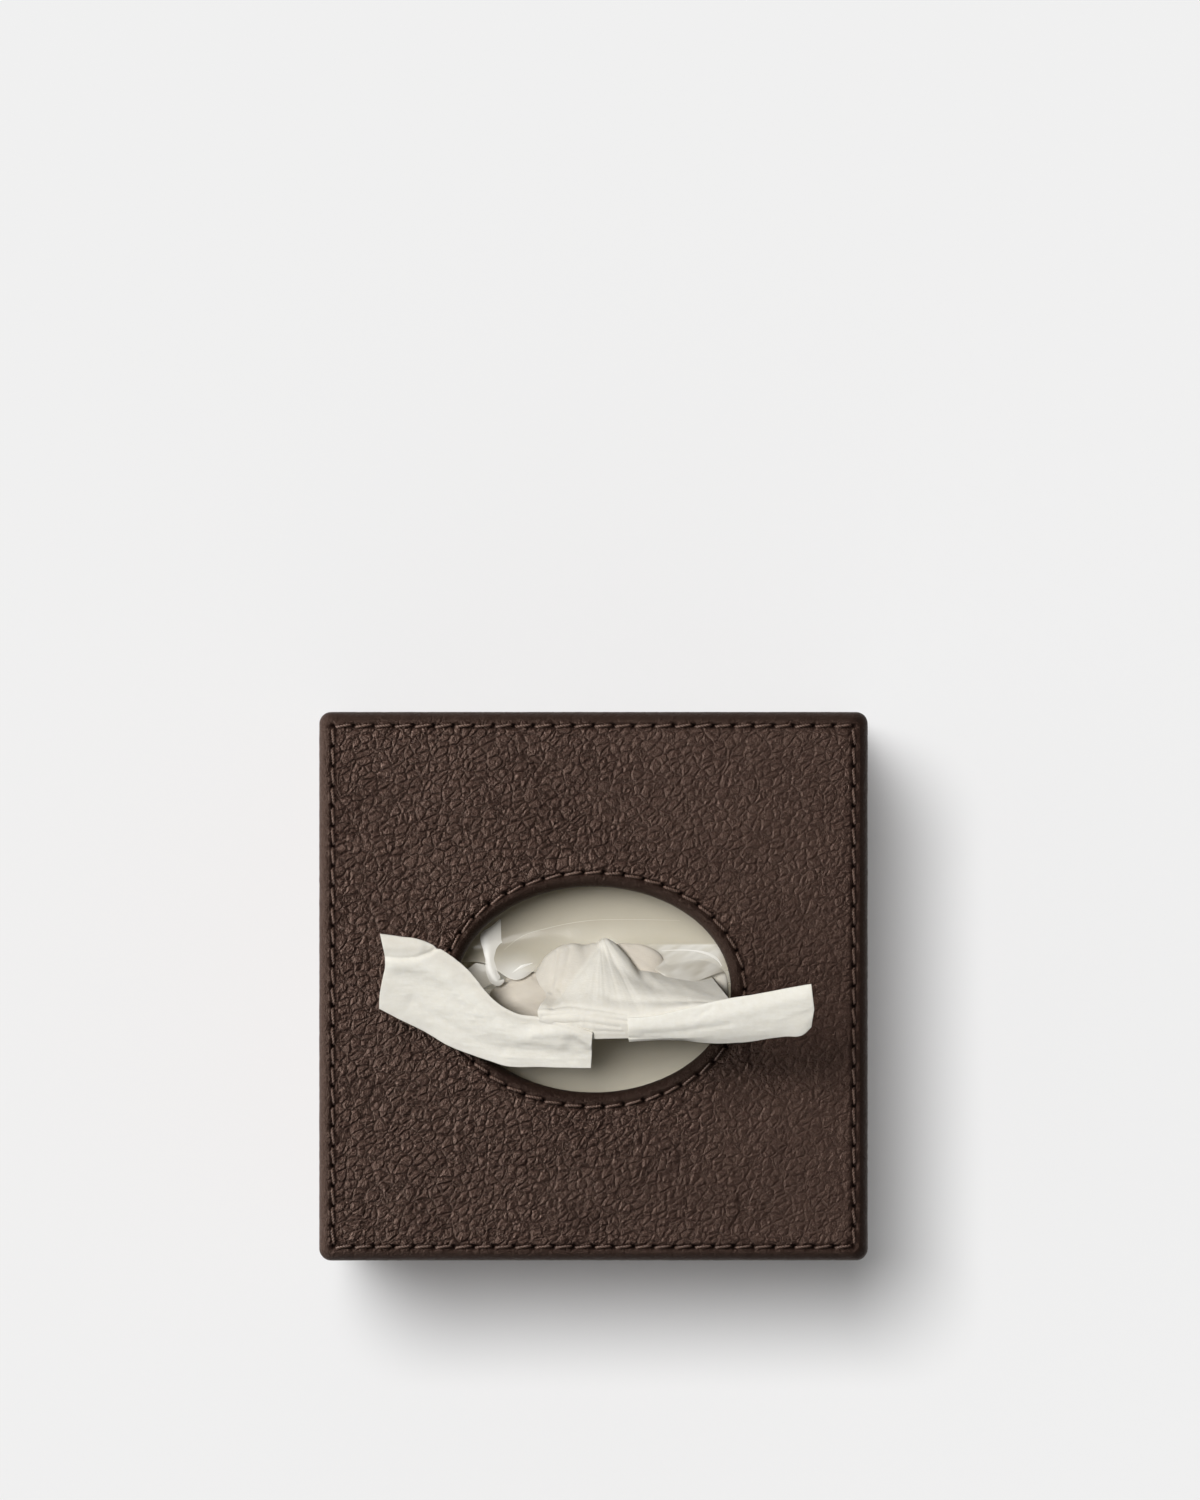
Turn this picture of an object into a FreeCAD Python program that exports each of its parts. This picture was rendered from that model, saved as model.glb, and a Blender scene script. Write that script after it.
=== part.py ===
import FreeCAD, Part

import math
import os
from collections import namedtuple
from types import SimpleNamespace

import Sketcher

# Square leather tissue box cover: leather over boards, sewn round the top and round an oval opening,
# standing on an inset base that magnets hold, with the carton inside it and the sheet that is pulled up.
# X runs to the right, Y to the back and Z up; the origin is the middle of the footprint on the table.

# Driving dimensions, in millimetres
SIZES = {
    # the outside of the cover
    "cover_width": 130.0,
    "edge_radius": 2.4,
    "corner_spread": 0.4,
    "foot_gap": 0.5,
    # the layers of the walls and panels
    "leather_gauge": 1.3,
    "board_gauge": 3.0,
    "lining_gauge": 0.7,
    "board_ease": 0.3,
    "rabbet_depth": 1.2,
    "hem_width": 7.0,
    "skirt_hem": 10.0,
    "seam_radius": 0.7,
    "seam_gap": 0.3,
    # the oval opening
    "opening_length": 65.1,
    "opening_depth": 48.8,
    "opening_shift": 0.8,
    "rim_radius": 2.4,
    # the stitching
    "edge_stitch_inset": 3.3,
    "rim_stitch_inset": 3.4,
    "stitch_pitch": 4.76,
    "groove_width": 1.3,
    "groove_depth": 0.5,
    "thread_diameter": 0.7,
    "thread_gap": 0.14,
    "thread_bend": 0.5,
    "needle_play": 0.05,
    # the base and what holds it
    "base_clearance": 0.5,
    "base_corner": 1.8,
    "ledge_width": 3.5,
    "ledge_height": 8.0,
    "magnet_length": 12.0,
    "magnet_width": 2.4,
    "magnet_height": 2.5,
    "magnet_inset": 0.4,
    "strike_width": 4.0,
    "strike_gauge": 1.0,
    "strike_margin": 0.4,
    "glue_gap": 0.1,
    # the carton, which the cover leaves room for
    "carton_height": 126.0,
    "carton_headroom": 4.0,
    "carton_room": 4.0,
    "carton_gauge": 0.5,
    "window_length": 76.0,
    "window_depth": 60.0,
    "film_gauge": 0.2,
    "film_margin": 5.0,
    "slit_length": 70.0,
    "slit_width": 11.0,
    "slit_shift": 3.0,
    "stack_headroom": 15.0,
    "stack_clearance": 2.0,
    "stack_corner": 4.0,
    # the pulled tissue
    "tissue_gauge": 0.6,
    "tissue_span": 102.0,
    "tissue_depth": 31.5,
    "tissue_rise": 13.6,
    "tail_drop": 10.0,
    "soft_clearance": 0.3,
    # what cuts reach past the faces that they open
    "overrun": 1.0,
}

# Two heights or places closer than this count as one
SAME_PLACE = 1e-5

doc = FreeCAD.newDocument("tissue_box_cover")
sheet = doc.addObject("Spreadsheet::Sheet", "Sizes")
for row, (alias, number) in enumerate(SIZES.items(), 1):
    sheet.set(f"A{row}", alias)
    sheet.set(f"B{row}", str(number))
    sheet.setAlias(f"B{row}", alias)
doc.recompute()


class Length:
    """A length of the sheet, or one worked out from several: its formula in the sheet's words, and its value."""

    def __init__(self, formula, value):
        self.formula = formula
        self.value = value

    def __add__(self, other):
        return Length(f"({self.formula} + {other.formula})", self.value + other.value)

    def __sub__(self, other):
        return Length(f"({self.formula} - {other.formula})", self.value - other.value)

    def __mul__(self, count):
        return Length(f"({self.formula} * {count})", self.value * count)

    def __truediv__(self, count):
        return Length(f"({self.formula} / {count})", self.value / count)

    def __neg__(self):
        return Length(f"(0 - {self.formula})", -self.value)

    def at_least(self, other):
        return Length(f"max({self.formula}; {other.formula})", max(self.value, other.value))

    def at_most(self, other):
        return Length(f"min({self.formula}; {other.formula})", min(self.value, other.value))


size = SimpleNamespace(**{alias: Length(f"Sizes.{alias}", number) for alias, number in SIZES.items()})

# Half widths, from the outside in
cover_half = size.cover_width / 2
board_half = cover_half - size.leather_gauge
lining_half = board_half - size.board_gauge
cavity_half = lining_half - size.lining_gauge
base_half = cavity_half - size.base_clearance
base_board_half = base_half - size.leather_gauge
ledge_half = cavity_half - size.ledge_width
carton_half = cavity_half - size.carton_room
stack_half = carton_half - size.carton_gauge - size.stack_clearance

# Heights above the table, from the base up
base_board_bottom = size.leather_gauge
base_board_top = base_board_bottom + size.board_gauge
base_top = base_board_top + size.lining_gauge
stack_bottom = base_top + size.carton_gauge
carton_top = base_top + size.carton_height
film_top = carton_top - size.carton_gauge
wall_bottom = size.foot_gap + size.leather_gauge
skirt_top = size.foot_gap + size.skirt_hem
panel_bottom = carton_top + size.carton_headroom
wall_top = panel_bottom - size.lining_gauge
top_board_bottom = panel_bottom + size.lining_gauge
top_board_top = top_board_bottom + size.board_gauge
cover_top = top_board_top + size.leather_gauge

# Radii of the boards, which the leather follows round
corner_radius = size.edge_radius + size.corner_spread
board_corner = (corner_radius - size.leather_gauge).at_least(size.board_ease)
board_edge = (size.edge_radius - size.leather_gauge).at_least(size.board_ease)
board_rim = (size.rim_radius - size.leather_gauge).at_least(size.board_ease)
base_board_corner = (size.base_corner - size.leather_gauge).at_least(size.board_ease)
rabbet_lip = size.board_gauge - size.rabbet_depth
wall_corner = board_corner.at_most(rabbet_lip - size.board_ease)

thread_radius = size.thread_diameter / 2


# Sketches and features


def new_body(label):
    body = doc.addObject("PartDesign::Body", label)
    body.Label = label
    return body


def level_sketch(body, name, height):
    """A level sketch at a height above the table."""
    sketch = body.newObject("Sketcher::SketchObject", name)
    plane = next(feature for feature in body.Origin.OriginFeatures if feature.Role == "XY_Plane")
    sketch.AttachmentSupport = [(plane, "")]
    sketch.MapMode = "FlatFace"
    sketch.setExpression("AttachmentOffset.Base.z", height.formula)
    return sketch


def bind(sketch, kind, *places_and_length):
    """A dimension of a sketch, tied to the sheet."""
    *places, length = places_and_length
    index = sketch.addConstraint(Sketcher.Constraint(kind, *places, length.value))
    sketch.setExpression(f"Constraints[{index}]", length.formula)


def draw_polygon(sketch, corners):
    """A closed outline through corners that are given as lengths from the origin."""
    points = [FreeCAD.Vector(x.value, y.value, 0) for x, y in corners]
    first = sketch.GeometryCount
    count = len(points)
    for i, point in enumerate(points):
        sketch.addGeometry(Part.LineSegment(point, points[(i + 1) % count]), False)
    for i in range(count):
        sketch.addConstraint(Sketcher.Constraint("Coincident", first + i, 2, first + (i + 1) % count, 1))
    for i, (x, y) in enumerate(corners):
        bind(sketch, "DistanceX", -1, 1, first + i, 1, x)
        bind(sketch, "DistanceY", -1, 1, first + i, 1, y)


def draw_rectangle(sketch, left, right, front, back):
    draw_polygon(sketch, [(left, front), (right, front), (right, back), (left, back)])


def draw_square(sketch, half):
    draw_rectangle(sketch, -half, half, -half, half)


def draw_oval(sketch, length, depth, shift):
    """An ellipse on the middle line, set towards the front by a shift."""
    tip = FreeCAD.Vector(length.value / 2, -shift.value, 0)
    crown = FreeCAD.Vector(0, depth.value / 2 - shift.value, 0)
    oval = sketch.addGeometry(Part.Ellipse(tip, crown, FreeCAD.Vector(0, -shift.value, 0)), False)
    sketch.exposeInternalGeometry(oval)
    long_axis = oval + 1
    short_axis = oval + 2
    sketch.addConstraint(Sketcher.Constraint("Horizontal", long_axis))
    sketch.addConstraint(Sketcher.Constraint("PointOnObject", oval, 3, -2))
    bind(sketch, "DistanceY", oval, 3, -1, 1, shift)
    bind(sketch, "Distance", long_axis, length)
    bind(sketch, "Distance", short_axis, depth)


def pad(body, sketch, height):
    feature = body.newObject("PartDesign::Pad", sketch.Name + "_pad")
    feature.Profile = sketch
    feature.setExpression("Length", height.formula)
    doc.recompute()
    return feature


def pocket(body, sketch, depth, upwards=False):
    before = body.Shape.Volume
    feature = body.newObject("PartDesign::Pocket", sketch.Name + "_pocket")
    feature.Profile = sketch
    feature.Reversed = upwards
    feature.setExpression("Length", depth.formula)
    doc.recompute()
    if body.Shape.Volume >= before:
        raise RuntimeError(f"{feature.Name} removes nothing")
    return feature


def round_edges(body, base, name, radius, chosen):
    edges = [f"Edge{i}" for i, edge in enumerate(base.Shape.Edges, 1) if chosen(edge)]
    feature = body.newObject("PartDesign::Fillet", name)
    feature.Base = (base, edges)
    feature.setExpression("Radius", radius.formula)
    doc.recompute()
    return feature


def is_level(edge, height):
    bounds = edge.BoundBox
    return max(abs(bounds.ZMin - height.value), abs(bounds.ZMax - height.value)) < SAME_PLACE


def is_oval(edge):
    return isinstance(edge.Curve, Part.Ellipse)


def is_upright(edge):
    return edge.BoundBox.XLength < SAME_PLACE and edge.BoundBox.YLength < SAME_PLACE


def at_outer_corner(half):
    """Picks the upright edges at the corners of a square of this half width."""

    def chosen(edge):
        bounds = edge.BoundBox
        across = max(abs(bounds.XMin), abs(bounds.XMax))
        along = max(abs(bounds.YMin), abs(bounds.YMax))
        return is_upright(edge) and abs(min(across, along) - half.value) < SAME_PLACE

    return chosen


def cut(label, base, tool):
    feature = doc.addObject("Part::Cut", label)
    feature.Label = label
    feature.Base = base
    feature.Tool = tool
    doc.recompute()
    return feature


def box(name, left, right, front, back, bottom, top):
    feature = doc.addObject("Part::Box", name)
    feature.setExpression("Length", (right - left).formula)
    feature.setExpression("Width", (back - front).formula)
    feature.setExpression("Height", (top - bottom).formula)
    feature.setExpression("Placement.Base.x", left.formula)
    feature.setExpression("Placement.Base.y", front.formula)
    feature.setExpression("Placement.Base.z", bottom.formula)
    return feature


def group(label, members):
    feature = doc.addObject("Part::Compound", label)
    feature.Label = label
    feature.Links = members
    doc.recompute()
    return feature


# Boards


def make_top_board():
    body = new_body("top_board")
    outline = level_sketch(body, "top_board_outline", top_board_bottom)
    draw_square(outline, board_half)
    draw_oval(
        outline,
        size.opening_length + size.leather_gauge * 2,
        size.opening_depth + size.leather_gauge * 2,
        size.opening_shift,
    )
    slab = pad(body, outline, size.board_gauge)
    corners = round_edges(body, slab, "top_board_corners", board_corner, at_outer_corner(board_half))
    edges = round_edges(
        body, corners, "top_board_edges", board_edge,
        lambda edge: is_level(edge, top_board_top) and not is_oval(edge),
    )
    round_edges(
        body, edges, "top_board_rim", board_rim,
        lambda edge: is_level(edge, top_board_top) and is_oval(edge),
    )
    return body


def make_long_board(label, front_sign):
    """A front or back wall board: full width, with a rabbet at each end for the side boards."""
    body = new_body(label)
    outline = level_sketch(body, label + "_outline", wall_bottom)
    outer = board_half * front_sign
    inner = lining_half * front_sign
    step = (lining_half + size.rabbet_depth) * front_sign
    draw_polygon(
        outline,
        [
            (-board_half, outer),
            (board_half, outer),
            (board_half, step),
            (lining_half, step),
            (lining_half, inner),
            (-lining_half, inner),
            (-lining_half, step),
            (-board_half, step),
        ],
    )
    slab = pad(body, outline, wall_top - wall_bottom)
    round_edges(body, slab, label + "_corners", wall_corner, at_outer_corner(board_half))
    return body


def make_short_board(label, side_sign):
    """A side wall board, let into the rabbets of the front and back boards."""
    body = new_body(label)
    outline = level_sketch(body, label + "_outline", wall_bottom)
    reach = lining_half + size.rabbet_depth
    draw_rectangle(outline, lining_half * side_sign, board_half * side_sign, -reach, reach)
    pad(body, outline, wall_top - wall_bottom)
    return body


# Linings, which lie in one plane with the hems of the leather


def make_top_lining():
    body = new_body("top_lining")
    outline = level_sketch(body, "top_lining_outline", panel_bottom)
    draw_square(outline, board_half - size.hem_width)
    draw_oval(
        outline,
        size.opening_length + (size.leather_gauge + size.hem_width) * 2,
        size.opening_depth + (size.leather_gauge + size.hem_width) * 2,
        size.opening_shift,
    )
    pad(body, outline, size.lining_gauge)
    return body


def make_side_lining():
    body = new_body("side_lining")
    outline = level_sketch(body, "side_lining_outline", skirt_top)
    draw_square(outline, lining_half)
    draw_square(outline, cavity_half)
    pad(body, outline, panel_bottom - skirt_top)
    return body


def make_base_lining():
    body = new_body("base_lining")
    outline = level_sketch(body, "base_lining_outline", base_board_top)
    draw_square(outline, base_board_half - size.hem_width)
    pad(body, outline, size.lining_gauge)
    return body


# Stitching

Stitch = namedtuple("Stitch", "x y angle length")


def edge_stitches():
    """The stitches of the four straight rows round the top."""
    row_half = cover_half.value - size.edge_stitch_inset.value
    row_length = 2 * (row_half - size.thread_gap.value)
    count = round(row_length / size.stitch_pitch.value)
    pitch = row_length / count
    stitches = []
    for side in range(4):
        angle = side * math.pi / 2
        for i in range(count):
            along = (i + 0.5) * pitch - row_length / 2
            x = along * math.cos(angle) + row_half * math.sin(angle)
            y = along * math.sin(angle) - row_half * math.cos(angle)
            stitches.append(Stitch(x, y, angle, pitch))
    return stitches


def oval_points(half_length, half_depth, count, samples_per_point=200):
    """Points spaced evenly along an ellipse about the opening's middle."""
    samples = count * samples_per_point
    turns = [2 * math.pi * i / samples for i in range(samples + 1)]
    ring = [(half_length * math.cos(t), half_depth * math.sin(t) - size.opening_shift.value) for t in turns]
    walked = [0.0]
    for start, end in zip(ring, ring[1:]):
        walked.append(walked[-1] + math.dist(start, end))
    points = []
    for i in range(count):
        target = walked[-1] * i / count
        nearest = min(range(samples), key=lambda j: abs(walked[j] - target))
        points.append(ring[nearest])
    return points, walked[-1]


def rim_stitches():
    """The stitches of the row round the opening, as chords of its ellipse."""
    half_length = size.opening_length.value / 2 + size.rim_stitch_inset.value
    half_depth = size.opening_depth.value / 2 + size.rim_stitch_inset.value
    girth = oval_points(half_length, half_depth, 1)[1]
    holes = oval_points(half_length, half_depth, round(girth / size.stitch_pitch.value))[0]
    stitches = []
    for start, end in zip(holes, holes[1:] + holes[:1]):
        middle = ((start[0] + end[0]) / 2, (start[1] + end[1]) / 2)
        angle = math.atan2(end[1] - start[1], end[0] - start[0])
        stitches.append(Stitch(*middle, angle, math.dist(start, end)))
    return stitches


def thread_loop(length):
    """One stitch: a thread that comes up through one needle hole, lies in the groove and goes down the next."""
    reach = length / 2 - (size.thread_diameter.value + size.thread_gap.value) / 2
    foot = top_board_top.value
    crown = cover_top.value - size.groove_depth.value + thread_radius.value
    bend = size.thread_bend.value
    turn = bend * math.sqrt(0.5)

    def arc(side):
        start = FreeCAD.Vector(side * reach, 0, crown - bend)
        middle = FreeCAD.Vector(side * (reach - bend + turn), 0, crown - bend + turn)
        end = FreeCAD.Vector(side * (reach - bend), 0, crown)
        return start, middle, end

    left = arc(-1)
    right = arc(1)
    path = Part.Wire(
        [
            Part.makeLine(FreeCAD.Vector(-reach, 0, foot), left[0]),
            Part.Arc(*left).toShape(),
            Part.makeLine(left[2], right[2]),
            Part.Arc(*reversed(right)).toShape(),
            Part.makeLine(right[0], FreeCAD.Vector(reach, 0, foot)),
        ]
    )
    section = Part.makeCircle(thread_radius.value, FreeCAD.Vector(-reach, 0, foot))
    return path.makePipeShell([Part.Wire(section)], True, False)


def make_stitching(label, stitches):
    loops = []
    for stitch in stitches:
        loop = thread_loop(stitch.length)
        loop.rotate(FreeCAD.Vector(), FreeCAD.Vector(0, 0, 1), math.degrees(stitch.angle))
        loop.translate(FreeCAD.Vector(stitch.x, stitch.y, 0))
        loops.append(loop)
    feature = doc.addObject("Part::Feature", label)
    feature.Label = label
    feature.Shape = Part.makeCompound(loops)
    feature.Placement = FreeCAD.Placement()
    return feature


def make_needle_holes(name, stitches):
    """Holes through the leather at both ends of each stitch."""
    radius = size.thread_diameter.value + size.thread_gap.value / 2 + size.needle_play.value
    foot = FreeCAD.Vector(0, 0, top_board_top.value - size.overrun.value)
    height = size.leather_gauge.value + 2 * size.overrun.value
    holes = []
    for stitch in stitches:
        half = FreeCAD.Vector(math.cos(stitch.angle), math.sin(stitch.angle), 0) * (stitch.length / 2)
        middle = FreeCAD.Vector(stitch.x, stitch.y, 0)
        for end in (middle - half, middle + half):
            if all(end.distanceToPoint(hole) > size.needle_play.value for hole in holes):
                holes.append(end)
    feature = doc.addObject("Part::Feature", name)
    feature.Shape = Part.makeCompound([Part.makeCylinder(radius, height, foot + hole) for hole in holes])
    feature.Placement = FreeCAD.Placement()
    return feature


# Leather


def make_top_leather(board, lining, needle_holes):
    """The top panel's leather: rolled over the board's edges and its oval, and hemmed beneath."""
    block = new_body("top_leather_block")
    outline = level_sketch(block, "top_leather_outline", panel_bottom)
    draw_square(outline, cover_half)
    draw_oval(outline, size.opening_length, size.opening_depth, size.opening_shift)
    slab = pad(block, outline, cover_top - panel_bottom)
    corners = round_edges(block, slab, "top_leather_corners", corner_radius, at_outer_corner(cover_half))
    edges = round_edges(
        block, corners, "top_leather_edges", size.edge_radius,
        lambda edge: is_level(edge, cover_top) and not is_oval(edge),
    )
    rim = round_edges(
        block, edges, "top_leather_rim", size.rim_radius,
        lambda edge: is_level(edge, cover_top) and is_oval(edge),
    )
    round_edges(block, rim, "top_leather_seam", size.seam_radius, lambda edge: is_level(edge, panel_bottom))
    edge_groove = level_sketch(block, "edge_groove", cover_top)
    draw_square(edge_groove, cover_half - size.edge_stitch_inset + size.groove_width / 2)
    draw_square(edge_groove, cover_half - size.edge_stitch_inset - size.groove_width / 2)
    pocket(block, edge_groove, size.groove_depth)
    rim_groove = level_sketch(block, "rim_groove", cover_top)
    for side in (1, -1):
        reach = size.rim_stitch_inset * 2 + size.groove_width * side
        draw_oval(rim_groove, size.opening_length + reach, size.opening_depth + reach, size.opening_shift)
    pocket(block, rim_groove, size.groove_depth)
    hollow = cut("top_leather_over_board", block, board)
    hollow = cut("top_leather_over_lining", hollow, lining)
    for i, holes in enumerate(needle_holes[:-1]):
        hollow = cut(f"top_leather_pierced_{i}", hollow, holes)
    return cut("top_leather", hollow, needle_holes[-1])


def make_side_leather(boards, lining):
    """One strip round the four walls, turned in at the top and the foot and closed by a seam at the back."""
    block = new_body("side_leather_block")
    outline = level_sketch(block, "side_leather_outline", size.foot_gap)
    draw_square(outline, cover_half)
    draw_square(outline, cavity_half)
    tube = pad(block, outline, panel_bottom - size.foot_gap)
    corners = round_edges(block, tube, "side_leather_corners", corner_radius, at_outer_corner(cover_half))
    round_edges(
        block, corners, "side_leather_edges", size.seam_radius,
        lambda edge: (is_level(edge, panel_bottom) or is_level(edge, size.foot_gap))
        and max(abs(edge.CenterOfMass.x), abs(edge.CenterOfMass.y)) > board_half.value,
    )
    hollow = block
    for board in boards:
        hollow = cut("side_leather_over_" + board.Label, hollow, board)
    hollow = cut("side_leather_over_lining", hollow, lining)
    seam = box(
        "side_seam",
        -size.seam_gap / 2,
        size.seam_gap / 2,
        lining_half,
        cover_half + size.overrun,
        size.foot_gap - size.overrun,
        panel_bottom + size.overrun,
    )
    return cut("side_leather", hollow, seam)


def make_base_leather(board, lining):
    """The base's leather: over its underside and edges, and hemmed on top."""
    block = new_body("base_leather_block")
    outline = level_sketch(block, "base_leather_outline", base_board_bottom - size.leather_gauge)
    draw_square(outline, base_half)
    slab = pad(block, outline, base_top)
    corners = round_edges(block, slab, "base_leather_corners", size.base_corner, at_outer_corner(base_half))
    round_edges(
        block, corners, "base_leather_edges", size.seam_radius,
        lambda edge: not is_upright(edge),
    )
    hollow = cut("base_leather_over_board", block, board)
    return cut("base_leather", hollow, lining)


# Base, ledges and magnets


def turned(points, quarter_turns):
    """A rectangle's corners, turned about the origin by quarter turns."""
    for _ in range(quarter_turns):
        points = [(-y, x) for x, y in points]
    return points


def strip_corners(outer, width, length, quarter_turns):
    """A strip along the front, set in from the middle by its outer line, turned to one of the four sides."""
    half = length / 2
    front = -outer
    back = width - outer
    return turned([(-half, front), (half, front), (half, back), (-half, back)], quarter_turns)


def make_base_blank():
    """The base's board before its recesses are cut."""
    body = new_body("base_blank")
    outline = level_sketch(body, "base_blank_outline", base_board_bottom)
    draw_square(outline, base_board_half)
    slab = pad(body, outline, size.board_gauge)
    round_edges(body, slab, "base_blank_corners", base_board_corner, at_outer_corner(base_board_half))
    return body


def make_bars(label, outer, width, length, bottom, height):
    """Four bars, one at the middle of each side."""
    bars = []
    for side in range(4):
        corners = strip_corners(outer, width, length, side)
        left = min((x for x, y in corners), key=lambda place: place.value)
        right = max((x for x, y in corners), key=lambda place: place.value)
        front = min((y for x, y in corners), key=lambda place: place.value)
        back = max((y for x, y in corners), key=lambda place: place.value)
        bars.append(box(f"{label}_{side}", left, right, front, back, bottom, bottom + height))
    return group(label, bars)


def make_ledge(label, quarter_turns, length):
    """A strip round the inside of the foot that the base stops against, with a recess for its magnet."""
    body = new_body(label)
    outline = level_sketch(body, label + "_outline", base_top)
    draw_polygon(outline, strip_corners(cavity_half, size.ledge_width, length, quarter_turns))
    pad(body, outline, size.ledge_height)
    recess = level_sketch(body, label + "_recess", base_top)
    corners = strip_corners(
        ledge_half + size.magnet_inset + size.magnet_width + size.glue_gap,
        size.magnet_width + size.glue_gap * 2,
        size.magnet_length + size.glue_gap * 2,
        quarter_turns,
    )
    draw_polygon(recess, corners)
    pocket(body, recess, size.magnet_height, upwards=True)
    return body


# Carton


def make_carton():
    """A folded paperboard carton with an oval window in its top."""
    body = new_body("carton")
    outline = level_sketch(body, "carton_outline", base_top)
    draw_square(outline, carton_half)
    pad(body, outline, size.carton_height)
    inside = level_sketch(body, "carton_inside", base_top + size.carton_gauge)
    draw_square(inside, carton_half - size.carton_gauge)
    pocket(body, inside, size.carton_height - size.carton_gauge * 2, upwards=True)
    window = level_sketch(body, "carton_window", carton_top)
    draw_oval(window, size.window_length, size.window_depth, size.opening_shift)
    pocket(body, window, size.carton_gauge)
    return body


def make_window_film():
    """A clear film behind the carton's window, with the slit that the tissue pushes open as it comes up."""
    body = new_body("window_film")
    outline = level_sketch(body, "window_film_outline", film_top - size.film_gauge)
    half_length = size.window_length / 2 + size.film_margin
    half_depth = size.window_depth / 2 + size.film_margin
    draw_rectangle(
        outline, -half_length, half_length, -half_depth - size.opening_shift, half_depth - size.opening_shift
    )
    draw_oval(outline, size.slit_length, size.slit_width, -size.slit_shift)
    pad(body, outline, size.film_gauge)
    return body


def make_tissue_stack():
    body = new_body("tissue_stack")
    outline = level_sketch(body, "tissue_stack_outline", stack_bottom)
    draw_square(outline, stack_half)
    block = pad(body, outline, film_top - size.stack_headroom - stack_bottom)
    round_edges(body, block, "tissue_stack_corners", size.stack_corner, is_upright)
    return body


# Pulled tissue

# Each station across the sheet, as shares: its place along the span, then the bulge behind, the crest and the
# hanging hem, each as a share of the depth and of the rise, and how far its root drops to the tail in the slit
Station = namedtuple("Station", "across back back_rise crest crest_rise hem hem_rise drop")

TISSUE_STATION_SHARES = [
    Station(-0.496, 0.37, 0.55, 0.39, 0.65, -0.16, 0.27, 0.03),
    Station(-0.380, 0.31, 0.44, 0.34, 0.57, -0.37, 0.10, 0.04),
    Station(-0.273, 0.05, 0.39, 0.08, 0.52, -0.54, 0.00, 0.06),
    Station(-0.171, -0.13, 0.28, -0.20, 0.45, -0.59, 0.03, 0.08),
    Station(-0.118, 0.17, 0.12, -0.17, 0.56, -0.59, 0.06, 1.00),
    Station(-0.040, 0.30, 0.20, -0.16, 0.66, -0.60, 0.09, 1.00),
    Station(-0.004, 0.33, 0.23, -0.17, 0.69, -0.61, 0.12, 1.00),
    Station(0.006, 0.33, 0.23, -0.17, 0.69, -0.38, 0.37, 1.00),
    Station(0.076, 0.26, 0.26, -0.20, 0.71, -0.38, 0.37, 1.00),
    Station(0.082, 0.25, 0.26, -0.20, 0.71, -0.41, 0.45, 1.00),
    Station(0.176, 0.11, 0.23, -0.17, 0.78, -0.39, 0.45, 1.00),
    Station(0.275, 0.02, 0.15, -0.10, 0.84, -0.40, 0.45, 1.00),
    Station(0.324, -0.04, 0.60, -0.08, 0.88, -0.40, 0.48, 0.05),
    Station(0.504, 0.00, 0.88, 0.03, 1.00, -0.28, 0.67, 0.04),
]


def sheet_section(across, line, gauge):
    """A closed section of a sheet: a bent line in an upright plane, thickened to both sides."""
    normals = []
    for (y0, z0), (y1, z1) in zip(line, line[1:]):
        run = math.dist((y0, z0), (y1, z1))
        normals.append(((z0 - z1) / run, (y1 - y0) / run))
    upper = []
    lower = []
    for i, (y, z) in enumerate(line):
        before = normals[max(i - 1, 0)]
        after = normals[min(i, len(normals) - 1)]
        spread = 1 + before[0] * after[0] + before[1] * after[1]
        dy = (before[0] + after[0]) / spread * gauge / 2
        dz = (before[1] + after[1]) / spread * gauge / 2
        upper.append(FreeCAD.Vector(across, y + dy, z + dz))
        lower.append(FreeCAD.Vector(across, y - dy, z - dz))
    ring = upper + lower[::-1]
    return Part.makePolygon(ring + ring[:1])


def make_pulled_tissue():
    """The sheet that stands up out of the slit, folds over its crest and lies out to both sides."""
    gauge = size.tissue_gauge.value
    crest_of_thread = cover_top.value - size.groove_depth.value + size.thread_diameter.value
    rest = crest_of_thread + size.soft_clearance.value + gauge / 2
    tail = (size.slit_shift.value, film_top.value - size.tail_drop.value)
    depth = size.tissue_depth.value
    rise = size.tissue_rise.value
    sections = []
    for station in TISSUE_STATION_SHARES:
        back = (station.back * depth, rest + station.back_rise * rise)
        crest = (station.crest * depth, rest + station.crest_rise * rise)
        hem = (station.hem * depth, rest + station.hem_rise * rise)
        root = tuple(b + station.drop * (t - b) for b, t in zip(back, tail))
        sections.append(sheet_section(station.across * size.tissue_span.value, [root, back, crest, hem], gauge))
    feature = doc.addObject("Part::Feature", "pulled_tissue")
    feature.Label = "pulled_tissue"
    feature.Shape = Part.makeLoft(sections, True, True)
    feature.Placement = FreeCAD.Placement()
    return feature


# The whole cover

top_board = make_top_board()
front_board = make_long_board("front_board", -1)
back_board = make_long_board("back_board", 1)
left_board = make_short_board("left_board", -1)
right_board = make_short_board("right_board", 1)
wall_boards = [front_board, back_board, left_board, right_board]

top_lining = make_top_lining()
side_lining = make_side_lining()

edge_row = edge_stitches()
rim_row = rim_stitches()
edge_stitching = make_stitching("edge_stitching", edge_row)
rim_stitching = make_stitching("rim_stitching", rim_row)
needle_holes = [make_needle_holes("edge_needle_holes", edge_row), make_needle_holes("rim_needle_holes", rim_row)]

top_leather = make_top_leather(top_board, top_lining, needle_holes)
side_leather = make_side_leather(wall_boards, side_lining)

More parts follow.
